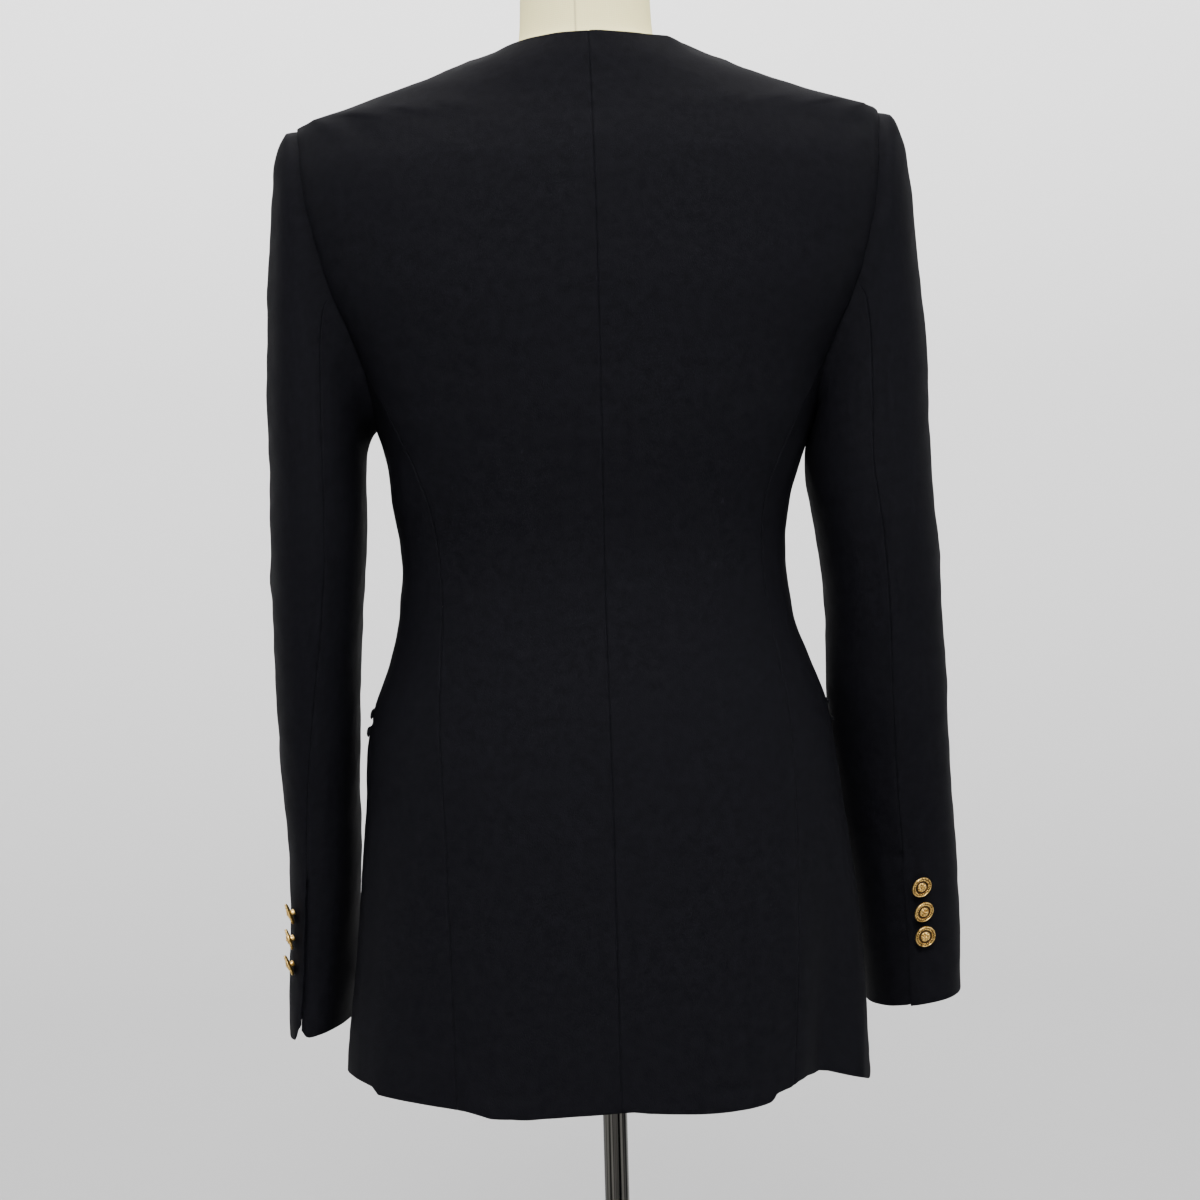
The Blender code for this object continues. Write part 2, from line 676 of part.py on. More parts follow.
def add_sleeve(side, arms, material, collection):
    """A two-piece sleeve: the upper piece outside, the under piece against the body."""
    label = "left" if side > 0 else "right"
    loop = armhole_loop(side)
    back_rows = [row.height for row in BODY_SECTIONS if JOIN_HEIGHT <= row.height < SHOULDER_TIP]
    seam_back = len(back_rows) - 2          # two rows above the side-back seam
    seam_front = len(loop) - len(back_rows)     # level with the side-front seam
    upper, under = loop_shares(loop, seam_back, seam_front)
    drop = CUFF_DROP[label]

    def upper_turns(arm):
        return arm.back_seam + UNDER_SLEEVE_SPREAD - 360.0, arm.back_seam

    def under_turns(arm):
        return arm.back_seam, arm.back_seam + UNDER_SLEEVE_SPREAD

    for part, shares, turns in (("upper", upper, upper_turns), ("under", under, under_turns)):
        rows = sleeve_rows(side, arms, shares, turns, drop)
        draw_in_edges(rows, SLEEVE_SEAM_GAP, first_row=True)
        if side > 0:
            rows = rows[::-1]
        sleeve = add_panel(f"sleeve_{label}_{part}", rows, SLEEVE_CLOTH, material, collection)
        if part == "upper":
            upper_sleeve = sleeve
    return upper_sleeve


# ----------------------------------------------------------------------------------------
# Pockets and buttons
# ----------------------------------------------------------------------------------------

def add_pocket_lip(side, part, middle, material, collection):
    """One lip of a jetted pocket, a strip that follows the panel just outside it."""
    first = POCKET_START_TURN if side > 0 else 180.0 - POCKET_START_TURN
    section = section_at(middle)
    turn, length = first, 0.0
    while length < POCKET_LENGTH:
        length += (oval_point(section, turn - side) - oval_point(section, turn)).length
        turn -= side
    turns = even_turns(middle, first, turn, LIP_COLUMNS)
    stand_off = SEAT_GAP + LIP_THICKNESS
    rows = []
    for height in (middle - LIP_WIDTH / 2, middle + LIP_WIDTH / 2):
        row = []
        for t in turns:
            lap = lap_lift(body_point(height, t).x) if side < 0 else 0.0
            row.append(body_point(height, t) + body_normal(height, t) * (stand_off + lap))
        rows.append(row if side < 0 else row[::-1])
    name = f"welt_{'left' if side > 0 else 'right'}_{part}"
    return add_panel(name, rows, LIP_THICKNESS, material, collection)


def button_profile(radius):
    """Half of a button's section, top to bottom: boss, channel, rim, back and shank."""
    return [(radius * row.share, row.height) for row in BUTTON_PROFILE]


def add_button(name, radius, panel, place, outwards, material, collection):
    """Seat a button on a panel's outer face, at the place below or above it."""
    faces = BVHTree.FromPolygons([v.co for v in panel.data.vertices],
                                 [face.vertices for face in panel.data.polygons])
    seat, facing, _, _ = faces.ray_cast(place + outwards * BUTTON_SEARCH, -outwards)
    button = add_turned(name, button_profile(radius), BUTTON_STEPS, material, collection)
    button.rotation_euler = facing.to_track_quat("Z", "Y").to_euler()
    button.location = seat + facing * SEAT_GAP
    return button


def sleeve_surface(side, arms, height, turn):
    """A point of the sleeve's outer face and the direction it faces."""
    arm = Arm(height, *[interpolated(arms[::-1], "height", name, height)
                        for name in Arm._fields[1:]])
    point = arm_point(arm, side, turn(arm))
    ahead = arm_point(arm, side, turn(arm) + 1.0)
    outwards = (ahead - point).cross(Vector((0, 0, 1))).normalized() * side
    return point, outwards


def add_cuff_buttons(side, arms, sleeve, material, collection):
    label = "left" if side > 0 else "right"
    for number, height in enumerate(CUFF_BUTTON_HEIGHTS[label], start=1):
        def turn(arm):
            around = math.hypot(arm.half_width * math.sin(math.radians(arm.back_seam)),
                                arm.half_depth * math.cos(math.radians(arm.back_seam)))
            return arm.back_seam - math.degrees(CUFF_BUTTON_INSET[label] / around)

        place, outwards = sleeve_surface(side, arms, height, turn)
        add_button(f"cuff_button_{label}_{number}", CUFF_BUTTON_RADIUS, sleeve, place, outwards,
                   material, collection)


def add_front_buttons(front, material, collection):
    for number, height in enumerate(FRONT_BUTTON_HEIGHTS, start=1):
        add_button(f"front_button_{number}", FRONT_BUTTON_RADIUS, front,
                   body_point(height, 270.0), body_normal(height, 270.0), material, collection)


# ----------------------------------------------------------------------------------------
# Dress form and stand
# ----------------------------------------------------------------------------------------

def add_form_torso(material, collection):
    """The padded torso: the cloth's own form drawn in, closed flat below, with a neck above."""
    heights = [FORM_BOTTOM] + [row.height for row in BODY_SECTIONS if row.height > FORM_BOTTOM]
    rings = []
    for height in heights:
        turns = even_turns(height, 0.0, 180.0, FORM_COLUMNS // 2)[:-1] \
            + even_turns(height, 180.0, 360.0, FORM_COLUMNS // 2)[:-1]
        depth = interpolated(FORM_DEPTHS, "height", "depth", height)
        ring = []
        for turn in turns:
            inwards = -body_normal(height, turn) * depth
            if height == FORM_BOTTOM:
                inwards.z = 0.0
            ring.append(oval_point(section_at(height), turn) + inwards)
        rings.append(ring)
    for neck in NECK_RINGS:
        section = Section(neck.height, neck.half_width, neck.half_width, neck.back, neck.front, 2.0)
        rings.append([oval_point(section, 360.0 * i / FORM_COLUMNS)
                      for i in range(FORM_COLUMNS)])
    return add_closed_rings("form_torso", rings, material, collection)


def add_stand(cap_material, metal, collection):
    """The neck's cap, the pole and the round weighted base."""
    neck = NECK_RINGS[-1].half_width
    low = NECK_TOP + SEAT_GAP
    add_turned("form_cap", [
        (0.0, low + CAP_HEIGHT), (neck * 0.75, low + CAP_HEIGHT * 0.85),
        (neck, low + CAP_HEIGHT * 0.35), (neck, low), (0.0, low),
    ], CAP_STEPS, cap_material, collection)
    top = FORM_BOTTOM - SEAT_GAP
    add_turned("pole", [
        (0.0, top), (FLANGE_RADIUS, top), (FLANGE_RADIUS, top - FLANGE_THICKNESS),
        (POLE_RADIUS * 1.25, top - FLANGE_THICKNESS * 1.25), (POLE_RADIUS, top - FLANGE_NECK),
        (POLE_RADIUS, HUB_TOP + SEAT_GAP), (0.0, HUB_TOP + SEAT_GAP),
    ], POLE_STEPS, metal, collection)
    add_turned("base", [
        (0.0, HUB_TOP), (HUB_RADIUS * 0.8, HUB_TOP), (HUB_RADIUS, HUB_TOP * 0.9),
        (HUB_RADIUS * 1.15, HUB_FOOT), (BASE_RADIUS * 0.55, BASE_CROWN),
        (BASE_RADIUS * 0.96, BASE_EDGE), (BASE_RADIUS, BASE_EDGE * 0.6), (BASE_RADIUS, 0.0),
        (0.0, 0.0),
    ], BASE_STEPS, metal, collection)


# ----------------------------------------------------------------------------------------
# The whole object
# ----------------------------------------------------------------------------------------

def main():
    for obj in list(bpy.data.objects):
        bpy.data.objects.remove(obj, do_unlink=True)
    collection = bpy.data.collections.new(COLLECTION)
    bpy.context.scene.collection.children.link(collection)

    crepe = new_material("black crepe", (0.011, 0.011, 0.013), 0.85)
    gold = new_material("antique gold", (0.62, 0.43, 0.19), 0.35, 1.0)
    linen = new_material("cream linen", (0.76, 0.71, 0.55), 0.9)
    wood = new_material("pale cap", (0.70, 0.64, 0.50), 0.6)
    chrome = new_material("chrome", (0.80, 0.80, 0.82), 0.12, 1.0)

    for side, arms in ((1, LEFT_ARM), (-1, RIGHT_ARM)):
        add_back(side, crepe, collection)
        add_side(side, crepe, collection)
        front = add_front(side, crepe, collection)
        sleeve = add_sleeve(side, arms, crepe, collection)
        for part, shift in (("upper", 0.5), ("lower", -0.5)):
            add_pocket_lip(side, part, POCKET_HEIGHT + shift * LIP_SPACING, crepe, collection)
        add_cuff_buttons(side, arms, sleeve, gold, collection)
    add_front_buttons(front, gold, collection)
    add_form_torso(linen, collection)
    add_stand(wood, chrome, collection)


main()
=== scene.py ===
import math

import bmesh
import bpy
import numpy as np
from mathutils import Matrix, Vector


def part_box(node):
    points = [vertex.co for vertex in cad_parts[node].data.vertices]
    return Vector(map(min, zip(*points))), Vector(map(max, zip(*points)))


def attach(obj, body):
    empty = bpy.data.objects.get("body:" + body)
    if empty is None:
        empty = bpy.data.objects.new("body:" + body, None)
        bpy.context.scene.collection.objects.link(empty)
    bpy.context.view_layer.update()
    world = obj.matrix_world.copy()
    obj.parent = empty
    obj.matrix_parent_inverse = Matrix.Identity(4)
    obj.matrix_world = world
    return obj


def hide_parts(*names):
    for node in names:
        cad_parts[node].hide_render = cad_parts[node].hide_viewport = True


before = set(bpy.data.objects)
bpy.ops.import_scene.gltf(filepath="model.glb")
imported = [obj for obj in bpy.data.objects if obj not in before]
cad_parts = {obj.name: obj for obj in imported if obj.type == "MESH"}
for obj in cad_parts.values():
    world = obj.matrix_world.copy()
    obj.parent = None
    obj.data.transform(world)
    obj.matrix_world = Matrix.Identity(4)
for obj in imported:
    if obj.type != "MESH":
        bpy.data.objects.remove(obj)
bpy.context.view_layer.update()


# ---- Camera ----------------------------------------------------------------------------
# It stands level with the jacket's waist, behind it and a little to its left, 1.45 m from
# the pole, and leans slightly to one side.
EYE = Vector((0.0557, 1.4489, 0.748))
EYE_TURN = math.radians(2.2)
EYE_LEAN = math.radians(1.56)
LENS, SENSOR = 63.0, 36.0
EYE_SHIFT = -1 / 1200

eye_back = Vector((math.sin(EYE_TURN), math.cos(EYE_TURN), 0.0))
eye_side = Vector((-math.cos(EYE_TURN), math.sin(EYE_TURN), 0.0))
eye_up = Vector((0.0, 0.0, 1.0))
bpy.ops.object.camera_add()
camera = bpy.context.object
camera.name = "camera"
camera.data.lens, camera.data.sensor_width = LENS, SENSOR
camera.data.shift_x = EYE_SHIFT
view_side = eye_side * math.cos(EYE_LEAN) - eye_up * math.sin(EYE_LEAN)
view_up = eye_side * math.sin(EYE_LEAN) + eye_up * math.cos(EYE_LEAN)
aimed = Matrix((view_side, view_up, eye_back)).transposed().to_4x4()
camera.matrix_world = Matrix.Translation(EYE) @ aimed
bpy.context.scene.camera = camera


# ---- Base and pole ---------------------------------------------------------------------
# The stand that the photo cuts off: a round weighted foot with a hub, and a plated steel
# tube with a plate under the torso. Both are turned round the upright axis.
BASE_RINGS = [
    (0.1528, 0.0000), (0.1545, 0.0008), (0.1550, 0.0022), (0.1550, 0.0058), (0.1543, 0.0080),
    (0.1520, 0.0094), (0.1488, 0.0101), (0.1200, 0.0122), (0.0900, 0.0147), (0.0600, 0.0170),
    (0.0380, 0.0183), (0.0290, 0.0189), (0.0253, 0.0200), (0.0236, 0.0222), (0.0226, 0.0270),
    (0.0220, 0.0345), (0.0213, 0.0378), (0.0196, 0.0395), (0.0176, 0.0400), (0.0096, 0.0400),
    (0.0093, 0.0394),
]
POLE_RINGS = [
    (0.0085, 0.0403), (0.0085, 0.1500), (0.0085, 0.3000), (0.0085, 0.4400), (0.0085, 0.4985),
    (0.0087, 0.5035), (0.0093, 0.5095), (0.0101, 0.5130), (0.0107, 0.5146), (0.0125, 0.5152),
    (0.0255, 0.5156), (0.0266, 0.5160), (0.0270, 0.5168), (0.0270, 0.5186), (0.0266, 0.5194),
    (0.0258, 0.5197),
]


def turned(name, rings, sides):
    """Turn a round piece from a disc, extruded and resized ring by ring up the axis."""
    radius, height = rings[0]
    bpy.ops.mesh.primitive_circle_add(vertices=sides, radius=radius, fill_type="NGON",
                                      location=(0, 0, height))
    piece = bpy.context.object
    piece.name = piece.data.name = name
    bpy.ops.object.mode_set(mode="EDIT")
    bpy.ops.mesh.select_mode(type="FACE")
    bpy.ops.mesh.select_all(action="SELECT")
    for wider, higher in rings[1:]:
        bpy.ops.mesh.extrude_region_move(TRANSFORM_OT_translate={"value": (0, 0, higher - height)})
        bpy.ops.transform.resize(value=(wider / radius, wider / radius, 1))
        radius, height = wider, higher
    bpy.ops.mesh.select_all(action="SELECT")
    bpy.ops.mesh.normals_make_consistent(inside=False)
    bpy.ops.object.mode_set(mode="OBJECT")
    bpy.ops.object.transform_apply(location=True, rotation=True, scale=True)
    bpy.ops.object.shade_smooth_by_angle(angle=math.radians(35))
    return piece


class Finish:
    """A socket of a material's nodes, on which sums are written as Python expressions."""

    def __init__(self, material, socket=None):
        self.material, self.socket = material, socket

    def node(self, kind, settings=None, inputs=None, out=0):
        """Add a node: its settings first, then the values or links of its sockets."""
        new = self.material.node_tree.nodes.new(kind)
        for name, value in (settings or {}).items():
            setattr(new, name, value)
        for name, value in (inputs or {}).items():
            if isinstance(value, Finish):
                self.material.node_tree.links.new(value.socket, new.inputs[name])
            else:
                new.inputs[name].default_value = value
        return Finish(self.material, new.outputs[out])

    def sum(self, operation, first, second):
        return self.node("ShaderNodeMath", {"operation": operation}, {0: first, 1: second})

    def __add__(self, other):
        return self.sum("ADD", self, other)

    def __radd__(self, other):
        return self.sum("ADD", other, self)

    def __sub__(self, other):
        return self.sum("SUBTRACT", self, other)

    def __rsub__(self, other):
        return self.sum("SUBTRACT", other, self)

    def __mul__(self, other):
        return self.sum("MULTIPLY", self, other)

    def __rmul__(self, other):
        return self.sum("MULTIPLY", other, self)

    def between(self, low, high):
        """0 at low, 1 at high and a smooth step between them."""
        return self.node("ShaderNodeMapRange", {"interpolation_type": "SMOOTHSTEP"},
                         {"Value": self, "From Min": low, "From Max": high})

    def mixed(self, first, second):
        """One colour where this is 0, the other where it is 1."""
        return self.node("ShaderNodeMix", {"data_type": "RGBA"},
                         {0: self, 6: first, 7: second}, out=2)

    def along(self, axis):
        """How far these places lie along an axis, 0 to 2."""
        return self.node("ShaderNodeSeparateXYZ", None, {"Vector": self}, out=axis)

    def stretched(self, *scale):
        """These places, scaled along each axis."""
        return self.node("ShaderNodeMapping", None, {"Vector": self, "Scale": scale})

    def noise(self, scale, detail=2.0, roughness=0.5, distortion=0.0):
        """Irregular grain at these places."""
        return self.node("ShaderNodeTexNoise", None, {
            "Vector": self, "Scale": scale, "Detail": detail, "Roughness": roughness,
            "Distortion": distortion})

    def bands(self, axis, scale, distortion, detail, detail_scale=1.0):
        """Wavy bands at these places, one after another along an axis."""
        return self.node("ShaderNodeTexWave", {"wave_type": "BANDS", "bands_direction": axis}, {
            "Vector": self, "Scale": scale, "Distortion": distortion, "Detail": detail,
            "Detail Scale": detail_scale})

    def bumps(self, strength, distance):
        """The normals of a surface that has this for its height."""
        return self.node("ShaderNodeBump", None,
                         {"Strength": strength, "Distance": distance, "Height": self})


def finish_of(name, constants, places="ShaderNodeTexCoord", settings=None, out=3):
    """A new material with the shader's own numbers set, and the places on its surface."""
    material = bpy.data.materials.new(name)
    material.use_nodes = True
    shader = material.node_tree.nodes["Principled BSDF"]
    for socket, value in constants.items():
        shader.inputs[socket].default_value = value
    return material, Finish(material).node(places, settings, out=out)


def wire(material, sockets):
    """Link what varies over the surface to the shader."""
    shader = material.node_tree.nodes["Principled BSDF"]
    for socket, value in sockets.items():
        material.node_tree.links.new(value.socket, shader.inputs[socket])


# Painted reflection: the chrome's colour is kept dark and streaked light and dark up the tube,
# standing for reflections of darker surroundings. The same streaks vary its roughness and bump.
chrome, place = finish_of("chrome", {"Metallic": 1.0, "IOR": 1.5})
streaks_and_reflections = place.stretched(520.0, 520.0, 1.5).noise(1.0, 1.0, 0.4)
smears = place.noise(30.0, 4.0, 0.62)
wire(chrome, {
    "Base Color": streaks_and_reflections.between(0.40, 0.62).mixed((0.004, 0.004, 0.004, 1),
                                                    (0.130, 0.124, 0.112, 1)),
    "Roughness": 0.08 + 0.10 * smears + 0.06 * streaks_and_reflections,
    "Normal": streaks_and_reflections.bumps(0.15, 0.00005),
})

steel, place = finish_of("steel", {"Metallic": 1.0, "IOR": 1.5})
smears = place.noise(26.0, 5.0, 0.62)
specks = place.noise(900.0)
wire(steel, {
    "Base Color": smears.between(0.30, 0.70).mixed((0.30, 0.298, 0.29, 1), (0.40, 0.397, 0.385, 1)),
    "Roughness": 0.20 + 0.16 * smears + 0.08 * specks,
    "Normal": specks.bumps(0.12, 0.00005),
})

STAND = (("base", BASE_RINGS, 128, steel), ("pole", POLE_RINGS, 72, chrome))
for name, rings, sides, finish in STAND:
    piece = turned(f"stand_{name}", rings, sides)
    piece.data.materials.append(finish)
    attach(piece, "root")
    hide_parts(name)


# ---- Dress form ------------------------------------------------------------------------
# A limbless torso of hard foam under pale linen, cut in panels with a seam up the middle of
# the back, and a turned wooden cap on the neck. The jacket hides all but the neck.
FORM_FOOT, FORM_TOP = 0.5204, 1.2045         # the heights of its flat ends
FORM_CLEAR = 0.0022                          # where it is covered it lies this much deeper
COVER_TOP, COVER_EASE = 1.122, 0.02          # than its CAD node, up to here
FORM_SEAM_X, FORM_SEAM_WIDTH = 0.0085, 0.0007     # the neck's seam, off the middle as shown
WELD = 0.00002                               # corners closer than this are one
CAP_RINGS = [
    (0.0432, 1.2053), (0.0443, 1.2058), (0.0445, 1.2068), (0.0445, 1.2086), (0.0441, 1.2097),
    (0.0430, 1.2107), (0.0405, 1.2119), (0.0350, 1.2134), (0.0260, 1.2145), (0.0150, 1.2151),
    (0.0040, 1.2153),
]


def picked(piece):
    """Make this the one piece that the operators work on."""
    bpy.ops.object.select_all(action="DESELECT")
    bpy.context.view_layer.objects.active = piece
    piece.select_set(True)


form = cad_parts["form_torso"].copy()
form.data = form.data.copy()
form.name = form.data.name = "form_body"
bpy.context.scene.collection.objects.link(form)
form.parent = None
form.matrix_world = Matrix.Identity(4)
form.data.materials.clear()
picked(form)
bpy.ops.object.mode_set(mode="EDIT")
bpy.ops.mesh.select_all(action="SELECT")
bpy.ops.mesh.remove_doubles(threshold=WELD)
bpy.ops.mesh.tris_convert_to_quads(face_threshold=math.radians(60),
                                   shape_threshold=math.radians(60))
bpy.ops.mesh.select_all(action="DESELECT")
bpy.ops.object.mode_set(mode="OBJECT")
for face in form.data.polygons:
    face.select = abs(face.normal.z) > 0.95 and not FORM_FOOT < face.center.z < FORM_TOP
bpy.ops.object.mode_set(mode="EDIT")
bpy.ops.mesh.region_to_loop()
bpy.ops.transform.edge_crease(value=0.85)
bpy.ops.object.mode_set(mode="OBJECT")
smoothed = form.modifiers.new("smoothed", "SUBSURF")
smoothed.levels = smoothed.render_levels = 2
bpy.ops.object.modifier_apply(modifier="smoothed")
skin, facing = (np.empty(3 * len(form.data.vertices)) for _ in range(2))
form.data.vertices.foreach_get("co", skin)
form.data.vertices.foreach_get("normal", facing)
skin, facing = skin.reshape(-1, 3), facing.reshape(-1, 3)
covered = np.clip((COVER_TOP - skin[:, 2]) / COVER_EASE, 0, 1) * (skin[:, 2] > FORM_FOOT - 0.0001)
form.data.vertices.foreach_set("co", (skin - facing * (FORM_CLEAR * covered)[:, None]).ravel())
bpy.ops.object.shade_smooth_by_angle(angle=math.radians(50))

linen, place = finish_of("linen", {"Specular IOR Level": 0.25, "IOR": 1.45})
warp = place.bands("X", 260.0, 1.2, 2.0, 1.5)
weft = place.bands("Z", 230.0, 1.6, 2.0, 1.2)
slub = place.stretched(420.0, 420.0, 60.0).noise(1.0, 3.0)
tone = place.noise(14.0, 3.0)
aside = place.along(0) - FORM_SEAM_X
behind = place.along(1).between(0.0, 0.01)
seam = behind * place.sum("POWER", math.e, aside * aside * (-1 / FORM_SEAM_WIDTH ** 2))
threads = 0.5 * warp + 0.5 * weft
woven = (0.25 + 0.35 * threads + 0.4 * slub).mixed((0.92, 0.795, 0.36, 1), (0.995, 0.935, 0.51, 1))
toned = (0.25 * tone).mixed(woven, (0.88, 0.79, 0.48, 1))
wire(linen, {
    "Base Color": (0.55 * seam).mixed(toned, (0.36, 0.31, 0.21, 1)),
    "Roughness": 0.78 + 0.12 * slub,
    "Normal": (0.30 * threads + 0.25 * slub - 0.9 * seam).bumps(0.55, 0.0006),
})
form.data.materials.append(linen)
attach(form, "root")
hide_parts("form_torso")

wood, place = finish_of("turned wood", {"Specular IOR Level": 0.45, "IOR": 1.5})
grain = place.stretched(1.0, 0.12, 1.0).bands("X", 24.0, 11.0, 3.0, 0.8)
pores = place.stretched(1300.0, 60.0, 1300.0).noise(1.0)
wire(wood, {
    "Base Color": (0.75 * grain + 0.25 * pores).mixed((0.27, 0.15, 0.06, 1),
                                                      (0.38, 0.225, 0.10, 1)),
    "Roughness": 0.34 + 0.2 * pores,
    "Normal": pores.bumps(0.25, 0.00015),
})
cap = turned("neck_cap", CAP_RINGS, 80)
cap.data.materials.append(wood)
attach(cap, "root")
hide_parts("form_cap")


# ---- Back, side and front panels -------------------------------------------------------
# The jacket's body: two backs with a seam up the middle, a side panel under each arm and two
# fronts, cut from black crepe on canvas and lining, pressed open at the seams and turned in
# at the hem, neckline and front edges. Each is a thin shell on its CAD panel's outer wall.
BODY_WALL = 0.0018
SEAM_REACH, SEAM_DEPTH = 0.0019, 0.0007      # how a pressed seam rolls in
FOLD_REACH, FOLD_DEPTH = 0.0016, 0.0008      # and a turned edge
SEAM_CLOSES, CLOSES_OVER = 0.00012, 0.0008   # both sides go this far past their seam
SMOOTH = math.radians(50)                    # a sharper bend of the cloth shows as an edge
# places close to an edge, on a line of cloth of at least this length
NEAR_EDGE = (0.0, 0.0004, 0.0009, 0.0015, 0.0023, 0.0034, 0.0050, 0.0075, 0.0110)
FULL_LINE = 0.030
WALL_BEND = 0.75                             # a wall's neighbouring faces bend less than this
CORNER_FROM, CORNER_OVER = 0.40, 0.30        # a line that turns more than this has a corner
# an edge is brought onto another from this far away, and the cloth beside it follows
MEET_MOST, MEET_EASE = 0.008, 0.002
FOLLOW_LEAST, FOLLOW_SHARE = 0.006, 2.5

# The slow swells that cloth has even where it is pressed, and the puckers beside its seams:
# how high and wide they are, and the seed that sets them.
BODY_SWELLS = [(0.00045, 0.085, 3), (0.00016, 0.024, 5)]
BODY_PUCKERS = [(0.00022, 0.013, 8)]
PUCKER_REACH = 0.007

# name: where its outer wall faces, rows of faces, which way its columns run, which of its
# edges are seams (the others are turned), fine columns and rows between the edges
BODY_PANELS = {
    "back_left": ((0, 1, 0), 27, (1, 0, 0), ("start", "end"), 44, 160),
    "back_right": ((0, 1, 0), 27, (-1, 0, 0), ("start", "end"), 44, 160),
    "side_left": ((1, 0, 0), 13, (0, 1, 0), ("start", "end", "top"), 26, 104),
    "side_right": ((-1, 0, 0), 13, (0, 1, 0), ("start", "end", "top"), 26, 104),
    "front_left": ((0, -1, 0), 26, (1, 0, 0), ("end",), 46, 158),
    "front_right": ((0, -1, 0), 26, (-1, 0, 0), ("end",), 46, 158),
}

# How far the back hem lies above its CAD edge (or below, under 0): place across and rise, in
# millimetres. The front hem drops evenly, and one runs into the other over HEM_BLEND.
BACK_HEM = [
    (-176, -4.0), (-155, -4.0), (-138, -3.4), (-131, -5.0), (-124, -0.6), (-117, 0.6), (-111, -0.6),
    (-101, 0.0), (-98, -3.8), (-94, -4.0), (-75, -3.4), (-50, -3.4), (-17, -3.2), (-8, -2.0),
    (24, -1.4), (50, -0.7), (70, -1.4), (84, -3.4), (100, -2.2), (116, -2.8), (143, -3.2),
    (157, -1.6), (161, 2.6), (171, 3.6), (180, 2.8),
]
FRONT_HEM = -0.0015
HEM_BLEND, HEM_REACH = 0.06, 0.060
NECK_EASE, NECK_REACH = 0.12, 0.055          # how the fronts' neck corners are drawn out

# Soft ridges (lift above 0) and troughs, listed one by one. Each is seen from the side that it
# names, as a line of points: place across (x, or y from the sides), height (y from above),
# lift and width, in millimetres. It fades out on cloth that turns away from that side.
BODY_CREASES = [
    ("back", [(-128, 668, 0, 7), (-129, 636, 1.1, 8), (-131, 586, 1.4, 9), (-133, 530, 0.9, 9),
              (-135, 480, 0, 8)]),
    ("back", [(-138, 640, 0, 7), (-144, 612, 0.9, 8), (-158, 555, 1.3, 9), (-168, 490, 1.6, 9),
              (-172, 424, 2.4, 9)]),
    ("back", [(148, 610, 0, 8), (151, 550, 0.8, 9), (153, 489, 1.4, 9), (157, 424, 2.2, 8)]),
    ("back", [(138, 590, 0, 9), (139, 520, -0.8, 11), (141, 424, -1.6, 12)]),
    ("back", [(-176, 946, 0, 8), (-160, 900, -1.6, 9), (-146, 858, -1.1, 11), (-132, 806, 0, 10)]),
    ("back", [(178, 952, 0, 8), (163, 904, -1.8, 9), (148, 858, -1.2, 11), (136, 812, 0, 10)]),
    ("back", [(-150, 872, 0, 8), (-138, 842, 0.9, 8), (-122, 796, 0, 9)]),
    ("back", [(152, 866, 0, 7), (143, 840, 1.1, 7), (128, 790, 0, 9)]),
    ("back", [(72, 792, 0, 8), (96, 780, 0.7, 8), (122, 763, 0, 8)]),
    ("back", [(-66, 778, 0, 9), (-92, 771, -0.6, 9), (-118, 757, 0, 8)]),
    ("back", [(20, 470, 0, 12), (17, 445, 0.6, 14), (15, 420, 1.1, 15)]),
    ("back", [(-44, 500, 0, 14), (-47, 460, -0.6, 15), (-50, 420, -1.2, 16)]),
    ("left", [(-60, 800, 0, 7), (-35, 776, 1.3, 7), (2, 752, 0.9, 9), (40, 742, 0, 9)]),
    ("left", [(-52, 768, 0, 7), (-22, 748, -1.2, 7), (20, 727, 0, 9)]),
    ("left", [(30, 640, 0, 9), (36, 560, 1.1, 10), (40, 424, 1.6, 11)]),
    ("left", [(-24, 600, 0, 10), (-30, 520, -1.0, 12), (-34, 424, -1.8, 13)]),
    ("right", [(-58, 790, 0, 8), (-28, 770, 1.1, 7), (8, 744, 0.8, 9), (38, 731, 0, 8)]),
    ("right", [(-66, 765, 0, 7), (-36, 746, -1.0, 7), (4, 722, 0, 9)]),
    ("right", [(-20, 610, 0, 9), (-26, 530, 1.2, 11), (-30, 422, 1.5, 12)]),
    ("front", [(20, 757, 0, 5), (48, 768, 1.4, 6), (84, 788, 0.9, 8), (116, 812, 0, 9)]),
    ("front", [(22, 746, 0, 5), (52, 742, -1.1, 6), (92, 745, 0, 9)]),
    ("front", [(20, 738, 0, 5), (46, 724, 1.2, 6), (76, 700, 0, 9)]),
    ("front", [(-24, 758, 0, 5), (-50, 772, 1.2, 6), (-80, 796, 0.8, 8), (-108, 824, 0, 9)]),
    ("front", [(-26, 747, 0, 5), (-56, 745, -0.9, 7), (-88, 750, 0, 9)]),
    ("front", [(-26, 736, 0, 5), (-52, 718, 1.0, 7), (-86, 690, 0, 9)]),
    ("front", [(172, 985, 0, 8), (146, 930, -1.6, 10), (118, 880, -0.7, 12), (98, 842, 0, 12)]),
    ("front", [(-170, 978, 0, 8), (-150, 936, -1.4, 9), (-124, 880, -0.8, 12), (-104, 850, 0, 12)]),
    ("front", [(62, 560, 0, 12), (68, 500, 0.9, 14), (72, 422, 1.8, 15)]),
    ("front", [(-84, 590, 0, 12), (-88, 510, -0.9, 13), (-90, 422, -1.9, 15)]),
    ("front", [(30, 848, 0, 5), (56, 862, -0.9, 6), (84, 884, 0, 8)]),
    ("front", [(-30, 846, 0, 5), (-52, 858, -0.7, 6), (-86, 888, 0, 8)]),
    # the padding under the shoulder seams, beside the neck
    ("above", [(64, 12, 0, 16), (80, 14, 3.2, 18), (94, 13, 2.8, 16), (108, 11, 0.4, 16),
               (124, 8, 0, 18)]),
    ("above", [(-70, 12, 0, 11), (-82, 13, 1.2, 13), (-92, 13, 2.8, 13), (-106, 12, 0.4, 13),
               (-122, 8, 0, 16)]),
    ("above", [(-36, 42, 0, 12), (-51, 36, 1.8, 12), (-62, 28, 0, 12)]),
]
